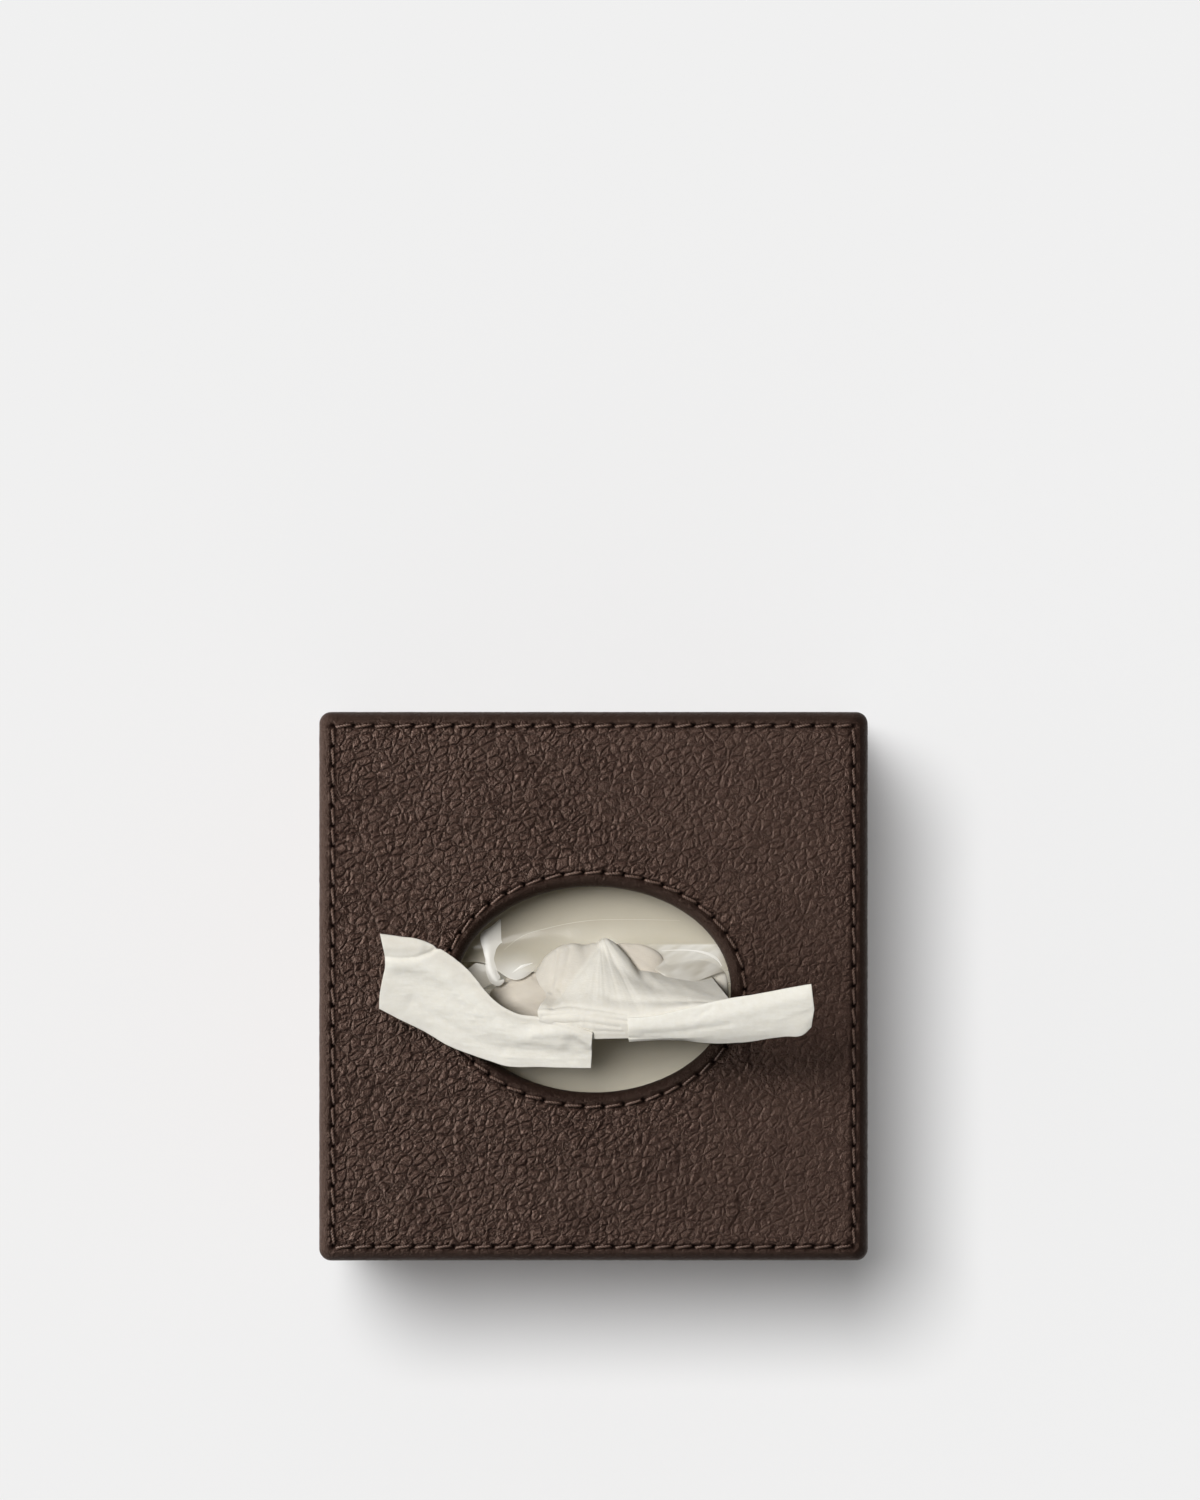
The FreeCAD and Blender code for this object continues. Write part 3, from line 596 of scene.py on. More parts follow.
def make_top_leather():
    """The top panel's leather, from its hem under the opening over the top to its hem at the outside."""
    ring = square_ring(HALF, CORNER_RADIUS, TOP_RING)
    oval = Oval(OVAL, OVAL_Y, ring)
    rows = []

    def rim_row(offset, height, flat):
        rows.append((at_height(oval.offset(offset), height), oval.offset(flat), flat, FAR))

    def edge_row(inset, height, flat):
        rows.append((inset_ring(ring, HALF, inset, height), ring * (HALF - flat) / HALF, FAR, flat))

    step = 0.2
    rim_band = 7.0
    edge_band = 6.0
    hem_middle = 3.5
    roll = EDGE_RADIUS * math.pi / 2
    wall = TOP - EDGE_RADIUS - SEAM - SEAM_RADIUS
    under = EDGE_RADIUS - roll - wall - SEAM_RADIUS
    for offset in (HEM, hem_middle, SEAM_RADIUS):
        rim_row(offset, SEAM, under - offset)
    for turn, closing, opening in arc(SEAM_RADIUS, 4):
        rim_row(closing, SEAM + opening, under + 0.5 * turn)
    for rise in np.linspace(0, wall, 6)[1:]:
        rim_row(0, SEAM + SEAM_RADIUS + rise, EDGE_RADIUS - roll - wall + rise)
    for turn, closing, opening in arc(EDGE_RADIUS, 16):
        rim_row(opening, TOP - closing, EDGE_RADIUS - roll + EDGE_RADIUS * turn)
    for offset in np.arange(EDGE_RADIUS + step, rim_band, step):
        rim_row(offset, TOP, offset)
    start = oval.offset(rim_band)
    end = ring * (HALF - edge_band) / HALF
    for share in np.linspace(0, 1, 105):
        flat = start + (end - start) * share
        rows.append((at_height(flat, TOP), flat, FAR, FAR))
    for inset in np.arange(edge_band - step, EDGE_RADIUS, -step):
        edge_row(inset, TOP, inset)
    edge_row(EDGE_RADIUS, TOP, EDGE_RADIUS)
    for turn, closing, opening in arc(EDGE_RADIUS, 14):
        edge_row(closing, TOP - opening, EDGE_RADIUS - EDGE_RADIUS * turn)
    for fall in np.linspace(0, wall, 6)[1:]:
        edge_row(0, TOP - EDGE_RADIUS - fall, EDGE_RADIUS - roll - fall)
    for turn, closing, opening in arc(SEAM_RADIUS, 4):
        edge_row(opening, SEAM + closing, under)
    for inset in (hem_middle, HEM):
        edge_row(inset, SEAM, under - inset)

    grid, flat, rim, edge = (np.array(column) for column in zip(*rows))
    rim = rim[:, None]
    edge = edge[:, None]
    x, y = xy(flat)

    angle = np.radians(22 + 36 * smoothstep(-45, 60, x) + 16 * value_noise(x / 34, y / 34, 3))
    coarse = 1 - 0.62 * smoothstep(-10, 55, x + 0.35 * y)
    height, crease = grain(x, y, angle, coarse)
    relief = (0.3 + 0.6 * coarse) * (1 - 0.4 * smoothstep(5, 85, x - y))

    rim_bead = smoothstep(3.6, 2.2, rim)
    edge_bead = smoothstep(3.2, 1.6, edge)
    bend = np.arctan2(y - OVAL_Y, x)
    stretched = bell(rim - 5.4, 1.7) * bell(bend - 2.45, 0.5)
    calm = 1 - 0.8 * rim_bead - 0.75 * edge_bead - 0.25 * bell(rim - 5.2, 1.6) - 0.6 * stretched
    height = height * calm
    crease = crease * calm

    # fine wrinkles across the rolled edges, and the stretched folds and the dent beside the opening
    wrinkle = value_noise(bend * 62, np.minimum(edge, rim) * 0.7, 21)
    height = height + 0.03 * (edge_bead + 0.6 * rim_bead) * wrinkle
    height = height + 0.16 * stretched * value_noise(bend * 26, rim * 0.35, 22)
    height = height - 0.14 * bell(rim - 6.3, 0.45) * bell(bend - 1.0, 0.45)
    # painted shade along the fine wrinkles of the rolled edges
    crease = crease + 0.25 * edge_bead * bell(wrinkle, 0.12)
    # the rolled edges are dyed dark, and the dark also stands for painted shade on them
    edge_dye_and_shade = 0.95 * rim_bead + 0.85 * edge_bead

    # the grooves the threads lie in, drawn tight at the needle holes
    def hole_distance(distance, holes):
        away = np.full(x.shape, FAR)
        close = (distance[:, 0] > 0.5) & (distance[:, 0] < 7.5)
        away[close] = nearest(flat[close], holes)
        return away

    rim_away = hole_distance(rim, rim_holes()[:-1])
    edge_away = hole_distance(edge, np.concatenate(edge_holes()))
    away = np.minimum(rim_away, edge_away)
    groove = bell(rim - RIM_ROW_OFFSET, 0.62) + bell(edge - EDGE_ROW_INSET, 0.62)
    hole = bell(away, 0.45)
    pucker = bell(rim - RIM_ROW_OFFSET, 2.0) + bell(edge - EDGE_ROW_INSET, 1.6)
    height = height - 0.36 * groove - 0.7 * hole - 0.14 * pucker * bell(away, 1.5) + 0.05 * pucker
    # painted shade darkens the grooves and the needle holes
    crease = np.clip(crease + 0.55 * groove + 0.9 * hole, 0, 1)

    grid = raised(grid, -height, True)
    fields = {"crease": crease, "edge_dye_and_shade": edge_dye_and_shade * np.ones_like(x), "relief": relief}
    return new_skin("leather_top", grid, "cover", LEATHER, fields, flipped=True)


def make_side_leather():
    """The strip of leather round the walls, from its hem inside the foot up to the seam under the top."""
    ring = square_ring(HALF, CORNER_RADIUS, WALL_RING)
    girth = np.arange(WALL_RING) / WALL_RING * GIRTH
    tuck = 6.0
    low = FOOT + SEAM_RADIUS
    high = SEAM - SEAM_RADIUS
    rows = []

    def row(inset, height, laid):
        rows.append((inset_ring(ring, HALF, inset, height), laid))

    for height in (SKIRT_TOP, 6.0, low):
        row(CAVITY_INSET, height, -height - tuck)
    for turn, closing, opening in arc(SEAM_RADIUS, 4):
        row(CAVITY_INSET - opening, FOOT + closing, -tuck)
    for inset in np.linspace(CAVITY_INSET - SEAM_RADIUS, SEAM_RADIUS, 9)[1:]:
        row(inset, FOOT, FOOT - inset)
    for turn, closing, opening in arc(SEAM_RADIUS, 5):
        row(closing, FOOT + opening, FOOT + 0.5 * turn)
    for height in np.linspace(low, high, 245)[1:]:
        row(0, height, height)
    for turn, closing, opening in arc(SEAM_RADIUS, 5):
        row(opening, high + SEAM_RADIUS * math.sin(turn), high + 0.5 * turn)
    for inset in (2.5, CAVITY_INSET):
        row(inset, SEAM, SEAM + inset)

    grid, laid = (np.array(column) for column in zip(*rows))
    laid = laid[:, None]
    y = np.broadcast_to(laid, grid.shape[:2])
    x = np.broadcast_to(girth, grid.shape[:2])
    angle = np.radians(35 + 18 * value_noise(x / 40, y / 40, 31))
    coarse = 0.72 + 0.28 * value_noise(x / 45, y / 45, 32)
    height, crease = grain(x + 300, y, angle, coarse)
    corners = GIRTH * (np.arange(4) + 0.5) / 4
    calm = 1 - 0.6 * bell(np.min(np.abs(girth[:, None] - corners), axis=1), 2.6)
    seam = bell(np.minimum(girth, GIRTH - girth), 0.55)
    height = height * calm - 0.75 * seam
    # painted shade in the grain's creases, and a dark line at the seam
    crease = np.clip(crease * calm + 0.9 * seam, 0, 1)
    shown = smoothstep(SKIRT_TOP, 0, -laid - tuck) * (laid > -tuck - 0.01)
    grid = raised(grid, height * shown, True)
    fields = {"crease": crease, "relief": 0.3 + 0.6 * coarse}
    return new_skin("leather_walls", grid, "cover", LEATHER, fields)


def make_base_leather():
    """The base's leather, from the middle of its underside round its edge, hemmed on top."""
    ring = square_ring(BASE_HALF, BASE_CORNER, PLAIN_RING)
    hem_inset = 8.3
    rows = []

    def row(inset, height):
        rows.append(inset_ring(ring, BASE_HALF, inset, height))

    for inset in np.linspace(BASE_HALF - 0.5, SEAM_RADIUS, 70):
        row(inset, 0.0)
    for turn, closing, opening in arc(SEAM_RADIUS, 5):
        row(closing, opening)
    for height in np.linspace(SEAM_RADIUS, BASE_TOP - SEAM_RADIUS, 6)[1:]:
        rows.append(at_height(ring, height))
    for turn, closing, opening in arc(SEAM_RADIUS, 5):
        row(opening, BASE_TOP - closing)
    for inset in np.linspace(SEAM_RADIUS, hem_inset, 10)[1:]:
        row(inset, BASE_TOP)

    grid = np.array(rows)
    x, y = xy(grid)
    height, crease = grain(x + 600 + 0.6 * grid[..., 2], y, np.radians(30), 0.7)
    grid = raised(grid, np.minimum(height, 0), True)
    # the grain's crease values are painted shade in the creases
    fields = {"crease": crease, "relief": np.full(x.shape, 0.7)}
    return new_skin("leather_base", grid, "base", LEATHER, fields)


def make_linings():
    """The suede inside the cover's walls and top, and on the base."""
    low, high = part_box("side_lining")
    ring = square_ring(HALF - CAVITY_INSET, 0.4, PLAIN_RING)
    walls = np.array([at_height(ring, height) for height in np.linspace(low.z / MM, high.z / MM, 80)])
    nap = 0.06 * value_noise(walls[..., 0] + walls[..., 1] * 1.7, walls[..., 2], 41)
    walls = raised(walls, -0.06 - nap, True)
    sides = new_skin("lining_walls", walls[::-1], "cover", SUEDE)

    low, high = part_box("top_lining")
    outline = square_ring(high.x / MM, 0.6, PLAIN_RING)
    start = Oval(OVAL, OVAL_Y, outline).offset(HEM)
    shares = np.linspace(0, 1, 60)
    ceiling = np.array([at_height(start + (outline - start) * share, low.z / MM) for share in shares])
    ceiling[..., 2] += 0.05 + 0.05 * value_noise(ceiling[..., 0], ceiling[..., 1], 42)
    top = new_skin("lining_top", ceiling, "cover", SUEDE)

    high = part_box("base_lining")[1]
    outline = square_ring(high.x / MM, 0.6, SMALL_RING)
    floor = np.array([at_height(outline * share, high.z / MM) for share in np.linspace(MIDDLE, 1, 50)])
    floor[..., 2] -= 0.05 + 0.05 * value_noise(floor[..., 0], floor[..., 1], 43)
    base = new_skin("lining_base", floor[::-1], "base", SUEDE)
    return sides, top, base


# Stitches


def make_stitching(name, lines, slant):
    """Rows of stitches: each a two-ply thread that comes up out of one needle hole and goes down the next."""
    steps = 26
    sides = 7
    turns = 3.2
    end_room = 0.45
    depth = 1.15
    rise = 1.06
    ply_offset = 0.17
    ply_radius = 0.21
    t = np.linspace(0, 1, steps)
    bow = 1 - np.abs(2 * t - 1) ** 4.5
    around = np.linspace(0, 2 * math.pi, sides, endpoint=False)[None, :, None]
    plies = []
    rng = np.random.default_rng(7)
    for holes in lines:
        for start, end in zip(holes, holes[1:]):
            run = end - start
            length = np.linalg.norm(run)
            along = run / length
            across = np.array([-along[1], along[0]])
            tilt = slant + rng.uniform(-0.06, 0.06)
            reach = (t - 0.5) * (length - end_room)
            side = tilt * np.sin((t - 0.5) * math.pi)
            lift = TOP - depth + (rise + rng.uniform(-0.04, 0.04)) * bow
            middle = (start + end) / 2 + np.outer(reach, along) + np.outer(side, across)
            phase = rng.uniform(0, math.pi)
            for ply in (0, math.pi):
                twist = 2 * math.pi * turns * t + ply + phase
                beside = middle + np.outer(ply_offset * np.cos(twist), across)
                centre = np.column_stack([beside, lift + ply_offset * np.sin(twist)])
                shell = centre[:, None, :] + ply_radius * np.cos(around) * np.r_[across, 0]
                shell[..., 2:] += ply_radius * np.sin(around)
                plies.append((shell, True))
    points, faces = join(plies)
    return new_piece(name, points, faces, "cover", THREAD)


# Carton, stack and film


def make_carton():
    """A folded carton: its inside from the middle of its floor to the window, then its outside back down."""
    ring = square_ring(CARTON_HALF, 0.9, PLAIN_RING)
    oval = Oval(WINDOW, OVAL_Y, ring)
    inner = (CARTON_HALF - CARTON_GAUGE) / CARTON_HALF
    floor = BASE_TOP + CARTON_GAUGE
    ceiling = CARTON_TOP - CARTON_GAUGE
    tall = CARTON_TOP - BASE_TOP
    bent = CARTON_FOLD / CARTON_HALF
    rows = []

    def row(line, height):
        rows.append(at_height(line, height))

    for share in np.linspace(MIDDLE, 1, 8):
        row(ring * inner * share, floor)
    for height in np.linspace(floor, ceiling, 40)[1:]:
        row(ring * inner, height)
    for share in np.linspace(0, 1, 24)[1:]:
        row(ring * inner * (1 - share) + oval.line * share, ceiling)
    for share in np.linspace(0, 1, 30):
        row(ring * (1 - bent) * share + oval.line * (1 - share), CARTON_TOP)
    for turn, closing, opening in arc(1.0, 5):
        row(ring * (1 - bent * closing), CARTON_TOP - CARTON_FOLD * opening)
    for height in np.linspace(CARTON_TOP - CARTON_FOLD, BASE_TOP + CARTON_FOLD, 90)[1:]:
        row(ring, height)
    for turn, closing, opening in arc(1.0, 5):
        row(ring * (1 - bent * opening), BASE_TOP + CARTON_FOLD * closing)
    for share in np.linspace(1 - bent, MIDDLE, 12)[1:]:
        row(ring * share, BASE_TOP)

    # the walls swell a little between their creased edges
    grid = np.array(rows)
    x, y = xy(grid)
    sides = np.abs(grid[..., :2])
    wall = np.max(sides, axis=-1) / CARTON_HALF
    along = np.min(sides, axis=-1) / CARTON_HALF
    on_wall = wall > 0.97
    rise = (grid[..., 2] - BASE_TOP) / tall
    swell = 0.9 * on_wall * (1 - along**2) * np.clip(4 * rise * (1 - rise), 0, 1)
    swell += 0.12 * on_wall * value_noise(x / 9 + y / 7, grid[..., 2] / 11, 51)
    out = np.where(sides[..., :1] > sides[..., 1:], [1.0, 0.0], [0.0, 1.0]) * np.sign(grid[..., :2])
    grid[..., :2] += out * (swell * (along < 0.985))[..., None]
    upright = bell(np.abs(along - 1) * CARTON_HALF, 0.8) * on_wall
    level = bell((rise - 1) * tall, 0.7) + bell(rise * tall, 0.7)
    crease = np.clip(0.5 * upright + 0.5 * level * (wall > 0.985), 0, 1)
    return new_skin("paper_carton", grid, "base", PAPERBOARD, {"crease": crease}, flipped=True)


def make_stack():
    """The stack of folded sheets: uneven layers round its sides, and the next sheet lying soft on top."""
    ring = square_ring(STACK_HALF, 4.0, SMALL_RING)
    layers = 60
    low = BASE_TOP + CARTON_GAUGE
    rng = np.random.default_rng(61)
    rows = [at_height(ring * 0.01, low), at_height(ring * 0.98, low)]
    step = (STACK_TOP - 1.0 - low) / layers
    for layer in range(layers):
        inset = 1 - (0.1 + rng.uniform(0, 0.6)) / STACK_HALF
        base = low + layer * step
        wave = 0.25 * value_noise(ring[:, 0] / 14 + layer * 0.11, ring[:, 1] / 14, 62)
        for share, pull in ((0.08, 0.012), (0.3, 0.0), (0.7, 0.0), (0.92, 0.012)):
            row = at_height(ring * (inset - pull), base + share * step)
            row[:, 2] = np.clip(row[:, 2] + wave * 0.4, low, STACK_TOP - 0.6)
            rows.append(row)
    for share in np.linspace(0.985, MIDDLE, 90):
        row = at_height(ring * share, STACK_TOP - 0.7)
        x, y = row[:, 0], row[:, 1]
        soft = 0.45 * value_noise(x / 21, y / 15, 63) + 0.16 * value_noise(x / 6, y / 4, 64)
        row[:, 2] += np.minimum(soft * smoothstep(1.0, 0.9, share), 0.65)
        rows.append(row)
    return new_skin("sheet_stack", np.array(rows), "base", STACKED)


def ribbon(path, widths):
    """A narrow arched strip along a path, as a grid of points."""
    steps = 40
    arch = 0.1
    line = spline(path, steps)
    wide = np.interp(np.linspace(0, 1, steps), np.linspace(0, 1, len(widths)), widths)
    run = np.gradient(line, axis=0)
    side = np.stack([-run[:, 1], run[:, 0], np.zeros(steps)], axis=1)
    side /= np.linalg.norm(side, axis=1, keepdims=True)
    share = np.linspace(-1, 1, 7)
    grid = line[:, None, :] + side[:, None, :] * (share * 0.5)[None, :, None] * wide[:, None, None]
    grid[..., 2] += arch * (1 - share**2)[None, :] * np.minimum(wide, 2.5)[:, None]
    return grid


# Strips of creased film, white from creasing and from painted highlights and reflections: each a path, its
# widths, and how white it is
FILM_STRIPS = [
    ([(-22.2, 15.8, 131.6), (-23.2, 13.4, 132.2), (-24.4, 10.9, 132.8), (-24.7, 7.8, 133.6),
      (-24.4, 4.6, 134.4), (-23.5, 1.9, 135), (-22.4, 0.8, 135.2), (-21.2, 1.4, 135.2)],
     [0.3, 2.6, 5.6, 3.2, 2, 2.6, 2.8, 0.4], 0.82),
    ([(-31, 1, 131.4), (-27.2, 2.2, 131.9), (-23.4, 2.6, 132.4)], [3, 6.6, 3.4], 0.66),
    ([(-19.2, 3.2, 136.6), (-16.8, 4.7, 136.6), (-14.4, 5.5, 136.4)], [0.1, 0.75, 0.1], 0.98),
    ([(16.2, 8.4, 137.6), (20.5, 8.6, 137.9), (24.7, 8.3, 138), (27.6, 7.5, 138), (29.5, 6.2, 137.8),
      (30.4, 4.8, 137.6)], [0.05, 0.15, 0.25, 0.5, 0.7, 0.15], 0.95),
    ([(-21.2, 8.6, 131.4), (-17.4, 11.5, 131.4), (-10.3, 13.8, 131.3), (-3.2, 15.2, 131.2),
      (11, 15.7, 131.2), (20.5, 15.5, 131.2)], [0.05, 0.2, 0.2, 0.15, 0.12, 0.05], 0.55),
]


def make_film():
    """The film behind the carton's window: flat where it is glued, its slit's lips pushed up by the sheet."""
    outline = square_ring(1.0, 0.04, FILM_RING) * FILM_HALF + [0, OVAL_Y]
    slit = Oval(SLIT, SLIT_Y, outline)
    shares = np.linspace(0, 1, 110) ** 1.5
    flat = np.array([slit.line + (outline - slit.line) * share for share in shares])
    x, y = xy(flat)
    away = np.linalg.norm(flat - slit.line, axis=-1)
    behind = smoothstep(1.0, 5.0, y - SLIT_Y + 2.5)
    lip_right = bell(x - 21, 9.5) * behind
    lip_left = bell(x + 18.0, 6.5) * behind
    rise = bell(away, 4.2)
    height = FILM_TOP + rise * (7.2 * lip_right + 5.0 * lip_left + 0.8)
    ripple = 0.16 * value_noise(x / 14, y / 8, 71) + 0.03 * value_noise(x / 5, y / 4, 72)
    glued = smoothstep(0, 5, np.minimum(FILM_HALF[0] - np.abs(x), FILM_HALF[1] - np.abs(y - OVAL_Y)))
    height = height + ripple * glued * 0.8
    y = y - rise * (6.5 * lip_right + 6.2 * lip_left)
    # the film's own clouding, with whiter patches on the left lip that are painted reflection
    haze_and_painted_shine = 0.42 + 0.42 * bell(x + 18.0, 5.0) * bell(y - 3.0, 3.8)
    haze_and_painted_shine += 0.25 * bell(x + 26.0, 4.5) * bell(y - 2.0, 6.0)
    # a streaky white patch on the right lip over the sheet under it: painted reflection
    covered = smoothstep(11, 15, x) * smoothstep(32, 29.5, x)
    covered = covered * smoothstep(10.1, 9.6, y) * smoothstep(-4, -1, y)
    streak = value_noise((x + 1.6 * y) / 5.0, (y - 0.6 * x) / 0.9, 73)
    haze_and_painted_shine += covered * (0.28 + 0.16 * bell(x - 25, 4.5) * smoothstep(4.5, 7, y) + 0.1 * streak)
    grids = [(np.stack([x, y, height], axis=-1), True)]
    milky_and_shining = [np.clip(haze_and_painted_shine, 0, 1).ravel()]
    # the strips: white lines and patches of painted highlight and reflection
    for path, widths, milk_and_painted_shine in FILM_STRIPS:
        strip = ribbon(path, widths)
        grids.append((strip, False))
        milky_and_shining.append(np.full(strip[..., 0].size, milk_and_painted_shine))
    points, faces = join(grids)
    fields = {"haze_and_painted_shine": np.concatenate(milky_and_shining)}
    return new_piece("slit_film", points, faces[:, ::-1], "base", FILM, fields)


# The pulled sheet: lines and rows of points of its layers


LEFT_HEM = [
    (-50.7, -5.1, 144.6), (-45.8, -7.7, 143.2), (-39.7, -10.8, 142.1), (-34, -14.1, 141.4),
    (-28.8, -16.2, 141.1), (-24.5, -17.6, 141.1), (-21.4, -18.6, 141.2), (-12, -19, 142),
    (-0.6, -19.2, 143.4),
]
LEFT_FOLD = [
    (-50.6, 12.7, 149.6), (-45.6, 12, 149.4), (-41.8, 11.5, 149.2), (-39, 10.5, 149),
    (-36.3, 9.1, 148.8), (-33.8, 7.5, 148.6), (-30.7, 5.1, 148.2), (-28.1, 2.3, 147.9),
    (-25.9, -0.4, 147.6), (-23.9, -2.7, 147.3), (-21, -4.9, 147), (-17.9, -6.3, 146.9),
    (-13, -6.9, 147.2), (-6, -8.4, 148.4), (-0.2, -10.5, 148.6),
]
RIGHT_FOLD = [
    (8, -7.2, 150.7), (13.4, -6.9, 151.1), (20, -5.4, 151.6), (25.2, -4.1, 152), (32.3, -2.6, 152.7),
    (39.4, -1.4, 153.3), (51.3, 0.8, 154.2),
]
RIGHT_BEND = [
    (8.2, -11.8, 148.8), (14.8, -11.8, 148.9), (22.4, -11.7, 149.2), (28.1, -11, 149.8),
    (33.3, -10.3, 150.4), (39.4, -9, 151.1), (44.2, -8, 151.7), (48.9, -6.4, 152.3),
    (52, -5, 152.7),
]
RIGHT_HEM = [
    (8.4, -12.9, 147.7), (14.8, -12.5, 147.4), (21.4, -12.5, 147.2), (25.2, -13, 147),
    (29, -13.3, 147), (33.3, -13.2, 147.2), (37.5, -12.8, 147.7), (41.3, -12.1, 148.3),
    (45.1, -11.6, 148.9), (49.2, -11.3, 149.3), (51.4, -9.3, 150),
]
FAN_ROWS = [
    [(-10.5, 3, 121), (8, 3.2, 121), (26.5, 3, 121)],
    [(-11.5, 3, 130.8), (-2, 5, 130.9), (8, 4.4, 130.9), (27.5, 2.8, 130.8)],
    [(-13.6, 3, 135), (-11.3, 6.8, 135.4), (-7.9, 9.1, 135.8), (-4.1, 9.8, 136.2),
     (-2.5, 9.5, 136), (0.6, 10.2, 136.8), (2.9, 10.7, 137.2), (4.6, 9.9, 137.3), (7.7, 6.8, 137.8),
     (11, 2.9, 138.4), (14.3, 2, 139.4), (20.5, 0.2, 142), (26.4, -1.4, 145),
     (32, -2.6, 148.5)],
    [(-12.9, 0.6, 138.6), (-9, 3.2, 140.2), (-4, 4.4, 141.2), (1.1, 5.2, 141.4), (7, 2.4, 142.6),
     (12, 0.4, 143.2), (20, -1.2, 145.2), (27, -2.5, 148), (32.4, -3.1, 150.2)],
    [(-11.2, -2.4, 143.6), (-6, -1.8, 145.2), (0, -1.2, 146), (7, -2, 146.9),
     (14, -2.8, 147.7), (22, -3.1, 148.9), (28, -3.5, 150.3), (32.8, -3.7, 151.2)],
    [(-13.2, -5.6, 147.9), (-8, -6, 149.2), (-2, -6.3, 149.9), (4, -6.6, 150.2),
     (9, -6.9, 150.4), (16, -6.1, 150.9), (24, -4.9, 151.3), (33.2, -4.6, 151.7)],
    [(-12.6, -8.6, 147), (-6, -9, 148.8), (0, -9.4, 149.4), (4, -9.6, 149.6),
     (8, -9.7, 149.4), (16, -9, 148.9), (24, -8, 149), (33.2, -7.2, 149.4)],
    [(-12, -11.4, 144.8), (-4, -11.9, 146.6), (0.1, -12.2, 147.6), (4, -12.1, 148),
     (8, -12, 147.8), (14, -11.4, 146.8), (24, -10.2, 146.8), (33, -9.2, 147.4)],
]
MOUND_ROWS = [
    [(-19, 3, 121), (5, 3, 121), (29, 3, 121)],
    [(-20, 2.4, 130.8), (5, 3.6, 130.8), (29.5, 2.6, 130.8)],
    [(-24.6, -1.8, 132.8), (-20, 0.7, 133.4), (-16, 2.3, 133.8), (-12, 3.6, 133.8),
     (-6, 6.2, 133.6), (0, 8.6, 133.6), (4.9, 10, 133.8), (12, 9.5, 134.2), (15.7, 7.7, 134.2),
     (17.6, 4.9, 133.4), (21, 5.4, 132.6), (25.2, 6, 132.2), (28.6, 5.2, 132), (31.2, 3, 131.8),
     (31.9, -1.6, 131.6)],
    [(-23.6, -3.8, 135.2), (-17, -1.6, 136.6), (-10, 0, 136.6), (0, 3.6, 135.4),
     (8, 6.6, 135.6), (13, 5.6, 136), (17, 1.8, 135.2), (24, 1.6, 134.2), (29, -1, 133.4),
     (31.4, -4, 132.8)],
    [(-20, -8.4, 134.6), (-10, -8, 135.6), (0, -7, 135.6), (10, -6, 136),
     (20, -6.2, 134.8), (30, -7, 133.4)],
]


def line_distance(x, y, line):
    """How far each point is from a line of straight runs, seen from above."""
    away = np.full(x.shape, FAR)
    for (ax, ay), (bx, by) in zip(line, line[1:]):
        dx, dy = bx - ax, by - ay
        share = np.clip(((x - ax) * dx + (y - ay) * dy) / (dx * dx + dy * dy), 0, 1)
        away = np.minimum(away, np.hypot(x - ax - share * dx, y - ay - share * dy))
    return away


def folds(x, y, lines):
    """The rise and fall of a sheet along its drawn folds: each a line, its height and its width."""
    height = np.zeros_like(x)
    for line, rise, width in lines:
        height += rise * bell(line_distance(x, y, line), width)
    return height


# Folds: each a line seen from above, its height and its width
LEFT_FOLDS = [
    ([(-47, 5.5), (-40, 4.6), (-34, 1.4), (-29, -3.6), (-24.5, -9), (-18, -11.8), (-8, -12.6)],
     0.75, 2.3),
    ([(-50, 7.2), (-46, 6.9), (-42, 7), (-38.5, 8.2), (-36.6, 9.6)], -0.45, 0.55),
    ([(-50, 9.8), (-45, 9.6), (-41, 9.4)], 0.45, 1.3),
    ([(-43, -4), (-36, -7.6), (-29, -12.4), (-22, -15.4)], -0.35, 1.6),
    ([(-14, -10.6), (-8, -10.2), (-3.5, -11), (-0.6, -13.4)], 0.55, 1.2),
    ([(-20, -14.6), (-10, -15.2), (-1, -16)], -0.3, 1.5),
]
RIGHT_FOLDS = [
    ([(9, -9.4), (20, -8.8), (30, -6.6), (42, -3.6), (50, -1.8)], 0.35, 1.7),
    ([(24, -7), (27, -5.4), (28, -4.4)], -0.12, 0.6),
    ([(12, -11), (22, -10.4), (32, -8.8)], -0.22, 0.8),
]
FAN_FOLDS = [
    ([(0.9, 9.6), (-2.5, 5), (-6.5, 0.2), (-9.8, -4.2)], -0.6, 1.1),
    ([(1.8, 9.2), (-0.6, 3), (-2.6, -3)], 0.25, 2.6),
    ([(3.2, 10.4), (6.5, 7.4), (10, 4), (12.8, 2.2)], 0.28, 1.5),
    ([(1.8, 8.8), (5, 5.4), (9.4, 2), (14, 0.4)], -0.22, 1.1),
    ([(-8.6, 8.2), (-9.4, 3.6), (-10.2, -1)], -0.35, 0.6),
    ([(-5.6, 9), (-6.6, 4.4), (-8.2, -0.4)], -0.3, 0.6),
    ([(-14, -5), (-6, -4.4), (2, -5.4), (8, -6.4)], -0.2, 0.4),
    ([(-12, -6.8), (-4, -6.2), (4, -7.4), (8, -8)], -0.22, 0.4),
    ([(-9, -8.6), (-2, -8.2), (6, -9.4)], -0.2, 0.4),
    ([(-2, -10.2), (7, -10.5)], -0.15, 0.4),
    ([(4, -2.8), (12, -3.4), (22, -3.2)], -0.25, 0.9),
]


